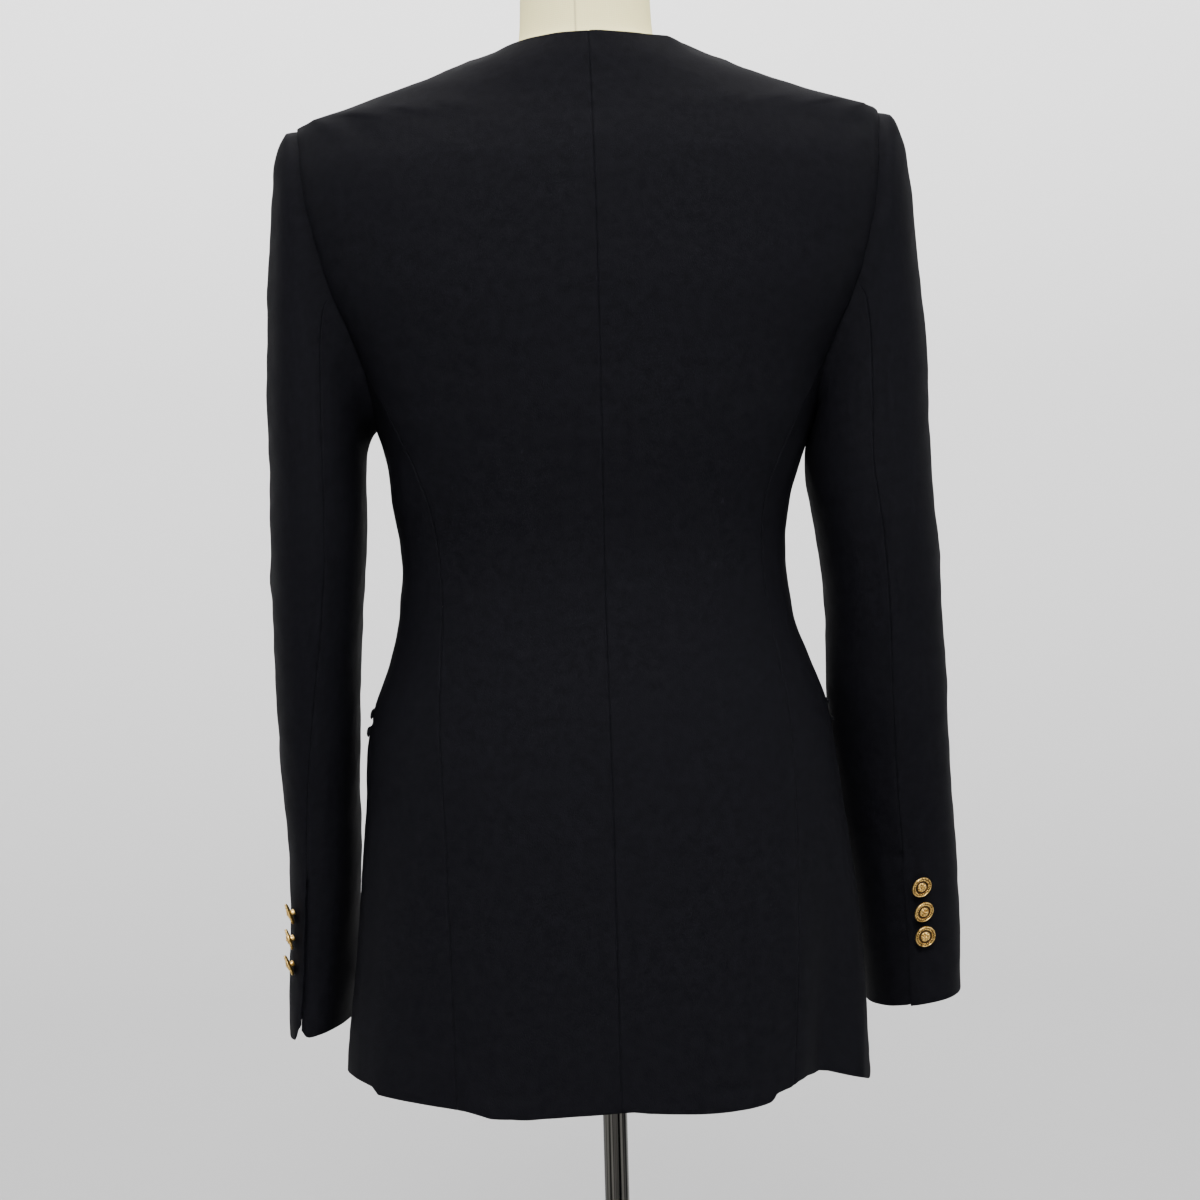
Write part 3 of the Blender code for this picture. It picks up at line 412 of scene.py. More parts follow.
# and the mouth of each pocket, between its lips
POCKET_MOUTHS = [(side, [(-97, 668, -0.6, 2.2), (-60, 668, -1.3, 2.4), (-20, 668, -1.4, 2.4),
                         (13, 668, -0.9, 2.2)]) for side in ("left", "right")]
SEEN_FROM = {
    "back": ((0, 2), (0, 1, 0)), "front": ((0, 2), (0, -1, 0)), "above": ((0, 1), (0, 0, 1)),
    "left": ((1, 2), (1, 0, 0)), "right": ((1, 2), (-1, 0, 0)),
}
SEEN_LEAST, SEEN_EASE = 0.02, 0.35


def wall_rows(node, outwards, count):
    """Read a CAD panel's outer wall as rows of points, from its lower edge upwards."""
    shell = bmesh.new()
    shell.from_mesh(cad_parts[node].data)
    bmesh.ops.remove_doubles(shell, verts=shell.verts, dist=WELD)
    shell.normal_update()
    outwards = Vector(outwards).normalized()
    first = max((f for f in shell.faces if f.normal.dot(outwards) > 0.6),
                key=lambda f: f.calc_center_median().dot(outwards))
    wall, waiting = {first}, [first]
    while waiting:
        face = waiting.pop()
        for beside in (g for e in face.edges for g in e.link_faces):
            if beside not in wall and face.normal.angle(beside.normal, 0.0) < WALL_BEND:
                wall.add(beside)
                waiting.append(beside)

    def along_rim(v):
        return [e.other_vert(v) for e in v.link_edges if sum(f in wall for f in e.link_faces) == 1]

    lowest = min((v for f in wall for v in f.verts), key=lambda v: v.co.z)
    row = [lowest]
    for here in along_rim(lowest):
        before = lowest
        while abs(here.co.z - before.co.z) < 0.6 * (here.co - before.co).length:
            row.insert(len(row) if row[-1] is before else 0, here)
            onward = [v for v in along_rim(here) if v is not before]
            here, before = onward[0], here

    def face_on(a, b, used):
        """The triangle on an edge that isn't used yet, and its third corner."""
        edge = next((e for e in a.link_edges if e.other_vert(a) is b), None)
        free = [f for f in edge.link_faces if f not in used] if edge else []
        if len(free) != 1:
            return None, None
        return free[0], next(v for v in free[0].verts if v is not a and v is not b)

    def row_over(row, start, side, below):
        """The next row up, if the triangle over start has its tip over this side of it."""
        above, used, strip = [None] * len(row), set(below), []
        order = [start] + list(range(start + 1, len(row) - 1)) + list(range(start - 1, -1, -1))
        for i in order:
            known = side if i == start else (0 if i > start else 1)
            face, tip = face_on(row[i], row[i + 1], used)
            if face is None:
                return None
            used.add(face)
            if i == start:
                above[i + side] = tip
            if tip is above[i + known]:
                second, tip = face_on(tip, row[i + 1 - known], used)
                above[i + 1 - known] = tip
            else:
                above[i + 1 - known] = tip
                second, check = face_on(tip, row[i + known], used)
                if check is not above[i + known]:
                    return None
            if second is None:
                return None
            used.add(second)
            strip.insert(len(strip) if i >= start else 0, face)
            strip.insert(len(strip) if i >= start else 0, second)
        bend = max(f.normal.angle(g.normal, 0.0) for f, g in zip(strip, strip[1:]))
        return bend, above, used

    used = {f for a, b in zip(row, row[1:]) for e in a.link_edges if e.other_vert(a) is b
            for f in e.link_faces if f not in wall}
    rows = [row]
    for _ in range(count):
        row = rows[-1]
        widest = max(range(len(row) - 1), key=lambda i: (row[i + 1].co - row[i].co).length)
        found = [way for way in (row_over(row, widest, side, used) for side in (0, 1)) if way]
        _, above, used = min(found, key=lambda way: way[0])
        rows.append(above)
    points = np.array([[v.co[:] for v in row] for row in rows])
    shell.free()
    return points


def run_of(points):
    """The distance along a line of points, from its first."""
    return np.concatenate([[0.0], np.cumsum(np.linalg.norm(np.diff(points, axis=0), axis=1))])


def eased(share):
    share = np.clip(share, 0.0, 1.0)
    return share * share * (3 - 2 * share)


def through(points, wanted):
    """Places on the smooth curve through the points, at these distances; a sharp corner stays."""
    at = run_of(points)
    steps = np.diff(at)[:, None]
    slopes = np.diff(points, axis=0) / steps
    leans = np.empty_like(points)
    leans[1:-1] = (slopes[:-1] * steps[1:] + slopes[1:] * steps[:-1]) / (steps[:-1] + steps[1:])
    leans[0] = 1.5 * slopes[0] - 0.5 * leans[1]
    leans[-1] = 1.5 * slopes[-1] - 0.5 * leans[-2]
    coming, going = leans.copy(), leans.copy()
    turn = np.arccos(np.clip((slopes[1:] * slopes[:-1]).sum(axis=1), -1, 1))
    sharp = eased((turn - CORNER_FROM) / CORNER_OVER)[:, None]
    coming[1:-1] += sharp * (slopes[:-1] - leans[1:-1])
    going[1:-1] += sharp * (slopes[1:] - leans[1:-1])
    i = np.clip(np.searchsorted(at, wanted, side="right") - 1, 0, len(at) - 2)
    step = steps[i]
    s = ((wanted - at[i]) / steps[i, 0])[:, None]
    return ((2 * s ** 3 - 3 * s ** 2 + 1) * points[i] + (s ** 3 - 2 * s ** 2 + s) * step * going[i]
            + (3 * s ** 2 - 2 * s ** 3) * points[i + 1] + (s ** 3 - s ** 2) * step * coming[i + 1])


def stations(length, middle):
    """Distances along a line of cloth: close together at its ends, even between them."""
    near = np.array(NEAR_EDGE) * min(1.0, length / FULL_LINE)
    inner = np.linspace(near[-1], length - near[-1], middle + 2)[1:-1]
    return np.concatenate([near, inner, (length - near)[::-1]])


def creased(points, normals, creases):
    """How far the listed ridges and troughs lift each point of the cloth."""
    lift = np.zeros(points.shape[:2])
    for side, line in creases:
        axes, facing = SEEN_FROM[side]
        shown = eased((normals @ np.array(facing, dtype=float) - SEEN_LEAST) / SEEN_EASE)
        flat = points[..., axes]
        line = np.array(line, dtype=float) / 1000
        nearest, here = np.full(lift.shape, np.inf), np.zeros(lift.shape)
        for a, b in zip(line[:-1], line[1:]):
            run = b[:2] - a[:2]
            share = np.clip(((flat - a[:2]) @ run) / (run @ run), 0.0, 1.0)
            off = np.linalg.norm(flat - a[:2] - share[..., None] * run, axis=2)
            height = a[2] + share * (b[2] - a[2])
            width = a[3] + share * (b[3] - a[3])
            here = np.where(off < nearest, height * np.exp(-(off / width) ** 2), here)
            nearest = np.minimum(off, nearest)
        lift += shown * here
    return lift


def uneven(points, swells):
    """Irregular swells through the cloth, each the sum of ten waves that its seed sets."""
    lift = np.zeros(points.shape[:-1])
    for high, wide, seed in swells:
        chance = np.random.default_rng(seed)
        for _ in range(10):
            way = chance.normal(size=3)
            way *= 2 * math.pi / (np.linalg.norm(way) * wide * chance.uniform(0.7, 1.6))
            lift += high / 3 * np.sin(points @ way + chance.uniform(0, 2 * math.pi))
    return lift


def nearest_on(lines, places):
    """The points on these lines that are nearest to the places, and how far away they are."""
    found, best = places.copy(), np.full(len(places), np.inf)
    for line in lines:
        start, run = line[:-1], np.diff(line, axis=0)
        share = ((places[:, None] - start) * run).sum(axis=2)
        share = share / np.maximum((run * run).sum(axis=1), 1e-14)
        spots = start + np.clip(share, 0.0, 1.0)[..., None] * run
        away = np.linalg.norm(places[:, None] - spots, axis=2)
        pick = (np.arange(len(places)), away.argmin(axis=1))
        closer = away[pick] < best
        found[closer], best[closer] = spots[pick][closer], away[pick][closer]
    return found, best


def rolled(distance, reach, depth):
    """How deep an edge turns in over its last few millimetres."""
    near = np.clip(1 - distance / reach, 0.0, 1.0)
    return -depth * (1 - np.sqrt(1 - near ** 2))


def made(name, points, faces, lengths, finish):
    """A piece of cloth from its points and faces, with its own lengths as its map."""
    mesh = bpy.data.meshes.new(name)
    mesh.from_pydata(points.reshape(-1, 3).tolist(), [], faces)
    corners = np.empty(len(mesh.loops), dtype=np.int32)
    mesh.loops.foreach_get("vertex_index", corners)
    layer = mesh.uv_layers.new(name="cloth")
    layer.data.foreach_set("uv", lengths.reshape(-1, 2)[corners].ravel())
    mesh.materials.append(finish)
    piece = bpy.data.objects.new(name, mesh)
    bpy.context.scene.collection.objects.link(piece)
    picked(piece)
    return piece


class Cloth:
    """One cut piece: its points in rows, their normals, and their distances from its edges."""

    def __init__(self, node, outwards, count, runs, across, along):
        self.name = node
        rows = wall_rows(node, outwards, count)
        if (rows[:, -1] - rows[:, 0]).mean(axis=0) @ np.array(runs) < 0:
            rows = rows[:, ::-1]
        columns = [through(line, stations(run_of(line)[-1], along)) for line in rows.swapaxes(0, 1)]
        self.points = np.stack([through(line, stations(run_of(line)[-1], across))
                                for line in np.stack(columns, 1)])
        self.measure()
        normals = np.cross(np.gradient(self.points, axis=1), np.gradient(self.points, axis=0))
        normals /= np.linalg.norm(normals, axis=2, keepdims=True)
        middle = normals[normals.shape[0] // 2, normals.shape[1] // 2]
        self.flip = middle @ np.array(outwards) < 0
        self.normals = -normals if self.flip else normals

    def measure(self):
        """Distances from the start, end, bottom and top edges, along the cloth."""
        side = np.linalg.norm(np.diff(self.points, axis=1), axis=2)
        rise = np.linalg.norm(np.diff(self.points, axis=0), axis=2)
        self.start = np.pad(np.cumsum(side, axis=1), ((0, 0), (1, 0)))
        self.bottom = np.pad(np.cumsum(rise, axis=0), ((1, 0), (0, 0)))
        self.end = self.start[:, -1:] - self.start
        self.top = self.bottom[-1:] - self.bottom

    def lift(self, distance):
        self.points = self.points + self.normals * distance[..., None]

    def edge(self, name):
        """The points of an edge."""
        return {"start": self.points[:, 0], "end": self.points[:, -1], "top": self.points[-1]}[name]

    def meet(self, name, lines, share=1.0):
        """Bring an edge onto the edges that it is sewn to; the cloth beside it follows."""
        found, away = nearest_on(lines, self.edge(name))
        share = eased((MEET_MOST - away) / MEET_EASE) * share
        shift = (found - self.edge(name)) * share[:, None]
        reach = FOLLOW_LEAST + FOLLOW_SHARE * np.linalg.norm(shift, axis=1)
        if name == "top":
            reach, shift = reach[None, :], shift[None, :]
        else:
            reach, shift = reach[:, None], shift[:, None]
        self.points = self.points + eased(1 - getattr(self, name) / reach)[..., None] * shift

    def draw(self, edge, distance, reach):
        """Move the cloth along itself past an edge by distance, fading out over reach."""
        axis, outer, inner = {"start": (1, 0, 1), "end": (1, -1, -2), "top": (0, -1, -2)}[edge]
        way = self.points.take([outer], axis=axis) - self.points.take([inner], axis=axis)
        way = way / np.linalg.norm(way, axis=2, keepdims=True)
        fade = np.clip(1 - getattr(self, edge) / reach, 0.0, 1.0)
        self.points = self.points + way * (fade * distance)[..., None]

    def sewn(self, wall, finish):
        """The piece: the outer side, thickened inwards."""
        at = np.arange(self.start.size).reshape(self.start.shape)
        faces = np.stack([at[:-1, :-1], at[:-1, 1:], at[1:, 1:], at[1:, :-1]], 2).reshape(-1, 4)
        if self.flip:
            faces = faces[:, ::-1]
        piece = made(self.name + "_cloth", self.points, faces.tolist(),
                     np.stack([self.start, self.bottom], 2), finish)
        thick = piece.modifiers.new("thick", "SOLIDIFY")
        thick.thickness, thick.offset = wall, -1.0
        bpy.ops.object.modifier_apply(modifier="thick")
        bpy.ops.object.shade_smooth_by_angle(angle=SMOOTH)
        return piece


crepe, cloth = finish_of("crepe", {"Specular IOR Level": 0.05, "IOR": 1.45},
                         "ShaderNodeUVMap", {"uv_map": "cloth"}, out=0)
yarn = cloth.stretched(1500.0, 900.0, 1.0).noise(1.0, 1.0, 0.6, 0.6)
mottle = cloth.noise(150.0, 2.0, 0.65)
shade = (0.5 * yarn + 0.5 * mottle).between(0.30, 0.70)
wire(crepe, {
    "Base Color": shade.mixed((0.0028, 0.0028, 0.0039, 1), (0.0055, 0.0055, 0.0074, 1)),
    "Roughness": 0.68 + 0.22 * yarn,
    "Normal": (yarn + 0.4 * mottle).bumps(0.5, 0.00022),
})

cut = {node: Cloth(node, outwards, count, runs, across, along)
       for node, (outwards, count, runs, _, across, along) in BODY_PANELS.items()}
hem_places, hem_rises = np.array(BACK_HEM).T / 1000
for node, panel in cut.items():
    behind = eased(0.5 + panel.points[..., 1] / HEM_BLEND)
    rise = behind * np.interp(panel.points[..., 0], hem_places, hem_rises)
    rise += (1 - behind) * FRONT_HEM
    panel.points[..., 2] += rise * eased(1 - panel.bottom / HEM_REACH)
    lift = creased(panel.points, panel.normals, BODY_CREASES + POCKET_MOUTHS)
    lift += uneven(panel.points, BODY_SWELLS)
    puckers = uneven(panel.points, BODY_PUCKERS)
    for edge in ("start", "end", "bottom", "top"):
        far = getattr(panel, edge)
        if edge in BODY_PANELS[node][3]:
            lift += rolled(far, SEAM_REACH, SEAM_DEPTH)
            lift += puckers * np.exp(-far / PUCKER_REACH)
        else:
            lift += rolled(far, FOLD_REACH, FOLD_DEPTH)
    panel.lift(lift)
cut["back_right"].meet("start", [cut["back_left"].edge("start")])
armholes = {}
for arm in ("left", "right"):
    back, side, front = (cut[f"{part}_{arm}"] for part in ("back", "side", "front"))
    # the front runs on along the shoulder seam to the corner of the back's neckline
    near = np.clip(1 - front.points[..., 1] / front.points[-1, 0, 1], 0, 1)
    near = np.sqrt(near) * eased(near / NECK_EASE) * eased(1 - front.top / NECK_REACH)
    front.points = front.points + near[..., None] * (back.points[-1, -1] - front.points[-1, -1])
    front.meet("end", [back.edge("end")])
    side.meet("start", [front.edge("end")])
    side.meet("end", [back.edge("end")])
    armholes[arm] = [back.edge("end"), front.edge("end"), side.edge("top")]

panels = {}
for node, panel in cut.items():
    for edge in BODY_PANELS[node][3]:
        panel.draw(edge, SEAM_CLOSES, CLOSES_OVER)
    panels[node] = piece = panel.sewn(BODY_WALL, crepe)
    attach(piece, "root")
    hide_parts(node)


# ---- Pocket lips -----------------------------------------------------------------------
# Each hip pocket is jetted: two narrow folded strips of the same crepe, sewn over the slit
# above one another, with the dark mouth between them.
LIP_WALL, LIP_PROUD = 0.0016, 0.0002         # its thickness, and how far it is above its node
LIP_NEAR = np.array([0.0, 0.0003, 0.0008, 0.0016])     # places close to its ends
LIP_EVEN, LIP_PLACES = 0.003, 54             # and even places further in
LIP_SIDES, LIP_STEP = 12, 0.0006             # points round its fold, and the cloth between them
LIP_FULLNESS = 0.7                           # the lower, the squarer the fold
LIP_ROUND, LIP_TAPER = 0.0016, 0.35          # how its ends taper
LIP_FLAT, LIP_FLATTER = 0.034, 0.6           # the right lips' rear ends lie flatter
LIP_WAVES = [(0.00016, 0.011, 21)]

for node in ("welt_left_upper", "welt_left_lower", "welt_right_upper", "welt_right_lower"):
    arm = node.split("_")[1]
    side = 1 if arm == "left" else -1
    rows = wall_rows(node, (side * 0.7, -0.7, 0), 1)
    if (rows[:, -1] - rows[:, 0]).mean(axis=0)[1] > 0:
        rows = rows[:, ::-1]
    ends = run_of(rows[0])[-1]
    even = np.linspace(LIP_EVEN, ends - LIP_EVEN, LIP_PLACES)
    at = np.concatenate([LIP_NEAR, even, ends - LIP_NEAR[::-1]])
    low, high = through(rows[0], at), through(rows[1], at * run_of(rows[1])[-1] / ends)
    middle, half = (low + high) / 2, (high - low) / 2
    out = np.cross(np.gradient(middle, axis=0), half)
    out /= np.linalg.norm(out, axis=1, keepdims=True)
    if (out @ np.array((side, 0, 0))).mean() < 0:
        out = -out
    sway = creased(middle[None], out[None], BODY_CREASES)[0] + uneven(middle, BODY_SWELLS[:1])
    taper = 1 + rolled(np.minimum(at, ends - at), LIP_ROUND, LIP_TAPER)
    if arm == "right":
        taper = taper * (1 - LIP_FLATTER * eased(1 - at / LIP_FLAT))
    loop = []
    for turn in np.linspace(-math.pi / 2, math.pi / 2, LIP_SIDES):
        lift = (LIP_WALL + LIP_PROUD) * abs(math.cos(turn)) ** LIP_FULLNESS - LIP_WALL
        loop.append((math.sin(turn), lift * taper + sway + uneven(middle, LIP_WAVES)))
    loop += [(0.5, sway - LIP_WALL), (-0.5, sway - LIP_WALL)]
    loops = np.stack([middle + half * (share * taper)[:, None] + out * lift[:, None]
                      for share, lift in loop], 1)
    here = np.arange(loops.size // 3).reshape(loops.shape[:2])
    beside = np.roll(here, -1, axis=1)
    faces = np.stack([here[:-1], beside[:-1], beside[1:], here[1:]], 2).reshape(-1, 4).tolist()
    faces += [here[0, ::-1].tolist(), here[-1].tolist()]
    lengths = np.stack(np.broadcast_arrays(at[:, None], np.arange(len(loop)) * LIP_STEP), 2)
    lip = made(node + "_cloth", loops, faces, lengths, crepe)
    bpy.ops.object.mode_set(mode="EDIT")
    bpy.ops.mesh.select_all(action="SELECT")
    bpy.ops.mesh.normals_make_consistent(inside=False)
    bpy.ops.object.mode_set(mode="OBJECT")
    bpy.ops.object.shade_smooth_by_angle(angle=SMOOTH)
    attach(lip, "root")
    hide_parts(node)


# ---- Sleeves ---------------------------------------------------------------------------
# Each is a wide upper and a narrower under sleeve, set into the armhole over a padded head,
# and open at the cuff in a vent, where the upper laps over the under one.
SLEEVE_WALL = 0.0016
HEAD_FROM, HEAD_OVER = 0.93, 0.10            # the heights from which the padded head begins
HEAD_PROUD = {"left": 0.0004, "right": 0.0012}    # how far it stands above its seam,
HEAD_PLACE, HEAD_WIDTH = 0.010, 0.008        # how far down the sleeve and over how much
HEAD_DIMPLES = [(0.35, 0.016, 14)]
SLEEVE_SWELLS = [(0.0005, 0.07, 11), (0.00016, 0.022, 12)]
SLEEVE_PUCKERS = [(0.0002, 0.013, 15)]
SWELLS_FROM, CREASES_FROM = 0.035, 0.015     # they fade out this near the armhole
VENT_TOP, VENT_EASE = 0.572, 0.014
VENT_LAP, VENT_LAP_REACH = 0.0012, 0.004     # how far the upper sleeve goes past the vent,
VENT_LIFT, VENT_LIFT_REACH = 0.0006, 0.014   # and how far it stands off
VENT_TUCK, VENT_TUCK_REACH = {"left": 0.0005, "right": 0.0070}, 0.016     # the under sleeve goes
VENT_SINK, VENT_SINK_REACH = 0.0019, 0.010                                # under the upper
# how far the vent's corners, the upper sleeve's and the under's, lie above the cuff
VENT_NOTCH = {"left": (0.0085, 0.0055), "right": (0.0, 0.0035)}
NOTCH_WIDTH, NOTCH_HEIGHT = 0.0038, 0.03

SLEEVES = {
    "sleeve_left_upper": ((1, 0, 0), 13, (0, -1, 0), 48, 140),
    "sleeve_left_under": ((-1, 0, 0), 13, (0, -1, 0), 34, 116),
    "sleeve_right_upper": ((-1, 0, 0), 13, (0, -1, 0), 48, 140),
    "sleeve_right_under": ((1, 0, 0), 13, (0, -1, 0), 34, 116),
}
# The inner faces bulge towards the skirt, as the photo shows, so these come first.
SLEEVE_CREASES = {
    "left": [
        ("right", [(-40, 562, 0, 34), (-44, 526, 2.2, 34), (-46, 500, 4.6, 34),
                   (-48, 450, 5.0, 34)]),
        ("back", [(189, 880, 0, 6), (190, 820, 1.2, 6), (193, 756, 1.0, 7), (197, 700, 0, 7)]),
        ("back", [(204, 800, 0, 6), (206, 756, -1.0, 7), (208, 716, 0, 7)]),
        ("front", [(222, 768, 0, 6), (208, 750, 1.5, 6), (192, 738, 0.9, 7), (178, 730, 0, 7)]),
        ("front", [(224, 742, 0, 6), (208, 726, -1.4, 6), (190, 714, 0, 7)]),
        ("front", [(222, 700, 0, 6), (206, 690, 1.2, 6), (190, 684, 0, 7)]),
        ("above", [(229, -45, -2.6, 9), (229, 45, -2.6, 9)]),
        ("left", [(12, 1010, 0, 9), (20, 960, 0.9, 10), (22, 890, 1.2, 11), (14, 820, 0, 11)]),
        ("left", [(-34, 980, 0, 9), (-38, 920, -1.0, 10), (-34, 850, -0.9, 11), (-28, 800, 0, 10)]),
        ("left", [(26, 790, 0, 7), (4, 768, 1.3, 7), (-24, 752, 0.7, 8), (-50, 748, 0, 8)]),
        ("left", [(-12, 690, 0, 9), (-30, 620, 1.0, 10), (-44, 540, 0, 10)]),
    ],
    "right": [
        ("left", [(0, 905, 0, 26), (0, 868, 2.4, 24), (-4, 830, 0, 30)]),
        ("left", [(-10, 760, 0, 34), (-14, 720, 2.0, 34), (-22, 692, 4.2, 34), (-34, 651, 6.2, 34),
                  (-46, 569, 6.4, 32), (-54, 500, 4.8, 32), (-56, 450, 2.4, 30)]),
        ("back", [(-197, 930, 0, 5), (-196, 905, 1.3, 5), (-195, 850, 1.6, 5), (-194, 792, 1.2, 5),
                  (-195, 775, 0.5, 5), (-196, 755, 1.3, 5), (-197, 690, 1.5, 6),
                  (-198, 633, 0.8, 6), (-202, 600, 1.2, 5), (-203, 568, 0, 6)]),
        ("back", [(-203, 800, 0, 6), (-203, 762, -1.2, 7), (-203, 728, -1.0, 8),
                  (-204, 690, 0, 7)]),
        ("back", [(-176, 800, 0, 5), (-180, 770, -1.0, 6), (-186, 735, 0, 7)]),
        ("front", [(-232, 776, 0, 6), (-214, 757, 1.7, 6), (-196, 742, 1.1, 7), (-182, 733, 0, 7)]),
        ("front", [(-228, 752, 0, 6), (-212, 734, -1.6, 6), (-194, 718, 0, 7)]),
        ("front", [(-226, 716, 0, 6), (-210, 702, 1.4, 6), (-194, 693, 0, 7)]),
        ("right", [(-8, 1020, 0, 42), (-10, 970, -2.0, 44), (-12, 890, -2.2, 44),
                   (-14, 836, 0, 40)]),
        ("right", [(10, 1015, 0, 9), (16, 960, 0.8, 10), (20, 900, 1.1, 11), (16, 836, 0, 11)]),
        ("right", [(-36, 975, 0, 9), (-40, 910, -1.1, 10), (-36, 846, 0, 11)]),
        ("right", [(30, 800, 0, 7), (8, 776, 1.2, 7), (-18, 762, 0.8, 8), (-44, 758, 0, 8)]),
        ("right", [(-10, 700, 0, 9), (-26, 630, 1.0, 10), (-40, 556, 0, 10)]),
    ],
}

tubes = {node: Cloth(node, *rest) for node, rest in SLEEVES.items()}
vents = {}
for node, sleeve in tubes.items():
    height = sleeve.points[..., 2]
    vent = vents[node] = eased((VENT_TOP - height) / VENT_EASE)
    arm = node.split("_")[1]
    notch = VENT_NOTCH[arm][node.endswith("under")] * np.exp(-(sleeve.start / NOTCH_WIDTH) ** 2)
    sleeve.points[..., 2] += notch * eased(1 - sleeve.bottom / NOTCH_HEIGHT)
    lift = creased(sleeve.points, sleeve.normals, SLEEVE_CREASES[arm])
    lift *= eased(sleeve.top / CREASES_FROM)
    lift += uneven(sleeve.points, SLEEVE_SWELLS) * eased(sleeve.top / SWELLS_FROM)
    lift += rolled(sleeve.start, SEAM_REACH, SEAM_DEPTH) * (1 - vent)
    lift += rolled(sleeve.end, SEAM_REACH, SEAM_DEPTH)
    lift += rolled(sleeve.bottom, FOLD_REACH, FOLD_DEPTH)
    head = eased((height - HEAD_FROM) / HEAD_OVER)
    head *= np.exp(-((sleeve.top - HEAD_PLACE) / HEAD_WIDTH) ** 2)
    lift += HEAD_PROUD[arm] * head * (1 + uneven(sleeve.points, HEAD_DIMPLES))
    puckers = uneven(sleeve.points, SLEEVE_PUCKERS)
    for edge in ("start", "end", "top"):
        lift += puckers * np.exp(-getattr(sleeve, edge) / PUCKER_REACH)
    sleeve.lift(lift)
for node, sleeve in tubes.items():
    sleeve.meet("top", armholes[node.split("_")[1]])
for arm in ("left", "right"):
    upper, under = tubes[f"sleeve_{arm}_upper"], tubes[f"sleeve_{arm}_under"]
    upper.meet("end", [under.edge("end")])
    upper.meet("start", [under.edge("start")], share=1 - vents[upper.name][:, 0])

for node, sleeve in tubes.items():
    arm, vent = node.split("_")[1], vents[node]
    sleeve.draw("end", SEAM_CLOSES, CLOSES_OVER)
    sleeve.draw("top", SEAM_CLOSES, CLOSES_OVER)
    if node.endswith("upper"):
        sleeve.draw("start", SEAM_CLOSES + vent * VENT_LAP, VENT_LAP_REACH)
        sleeve.lift(vent * VENT_LIFT * eased(1 - sleeve.start / VENT_LIFT_REACH))
    else:
        sleeve.draw("start", SEAM_CLOSES + vent * VENT_TUCK[arm], VENT_TUCK_REACH)
        sleeve.lift(-vent * VENT_SINK * eased(1 - sleeve.start / VENT_SINK_REACH))
    piece = sleeve.sewn(SLEEVE_WALL, crepe)
    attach(piece, "root")
    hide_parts(node)


# ---- Buttons ---------------------------------------------------------------------------
# Cast metal with a warm gold plating: a raised rim, a ring of beads, a sunken channel that has
# kept its dark patina and a small rosette on a boss. The patina in the sunken rings is painted dark
# enough to stand also for the shade in them, and the plating's fine dark brown mottle is partly
# painted reflection. Three on each cuff, sewn on by a shank, and three bigger ones down the front.
BUTTON_RINGS = [          # share of the radius, height in millimetres for a radius of 7.5
    (0.26, -0.6), (0.29, -0.2), (0.29, 1.6), (0.45, 1.9), (0.86, 2.15), (0.955, 2.55), (1.0, 3.0),
    (1.0, 3.5), (0.985, 3.85), (0.955, 4.1), (0.92, 4.2), (0.885, 4.1), (0.862, 3.85), (0.85, 3.6),
    (0.80, 3.45), (0.70, 3.45), (0.665, 3.5), (0.64, 3.35), (0.62, 3.0), (0.58, 2.85), (0.52, 2.85),
    (0.485, 3.05), (0.47, 3.5), (0.45, 3.85), (0.41, 4.1), (0.33, 4.3), (0.2, 4.45), (0.07, 4.5),
]
BUTTON_RADIUS, BUTTON_HEIGHT, NODE_HEIGHT = 0.0075, 0.00553, 0.00555
DARK_RINGS = ((0.0, 0.33), (0.47, 0.66), (0.70, 0.87))      # shares of the radius,
DARK_ABOVE = 0.0027                                         # above this height
# each kind of ball on it: how many, how far out and high, radius, segments and rings
BEADS = (26, 0.00563, 0.00365, 0.00047, 8, 6)
PETALS = (8, 0.00195, 0.00448, 0.00078, 10, 8)
BOSS = (1, 0.0, 0.00455, 0.00098, 16, 10)
PETAL_SHAPE = (1.35, 0.82, 0.55)

# The plating is mottled with dark brown in fine spots: partly the figure and wear of the plating,
# partly painted reflection of darker surroundings. The same mottle dulls and roughens it.
gold, place = finish_of("gold plating", {"Metallic": 1.0, "IOR": 1.5})
rub_and_reflection = place.noise(900.0, 4.0, 0.6)
pits = place.noise(3200.0)
dull_and_dark_reflection = rub_and_reflection.between(0.44, 0.62)
wire(gold, {
    "Base Color": dull_and_dark_reflection.mixed((0.92, 0.62, 0.20, 1), (0.20, 0.105, 0.020, 1)),
    "Roughness": 0.22 + 0.16 * pits + 0.18 * dull_and_dark_reflection,
    "Normal": (0.6 * rub_and_reflection + 0.4 * pits).bumps(0.25, 0.00008),
})
# The sunken rings' own dark patina, painted darker still as painted shade in these hollows.
patina_and_shade, place = finish_of("patina_and_shade", {"IOR": 1.5})
specks = place.noise(1500.0, 3.0)
wire(patina_and_shade, {
    "Base Color": specks.between(0.42, 0.66).mixed((0.016, 0.007, 0.002, 1),
                                                   (0.12, 0.062, 0.016, 1)),
    "Metallic": 0.55 + 0.35 * specks,
    "Roughness": 0.62 - 0.15 * specks,
})

button = turned("button_model", [(share * BUTTON_RADIUS, height / 1000)
                                 for share, height in BUTTON_RINGS], 64)
button.data.materials.append(gold)
button.data.materials.append(patina_and_shade)
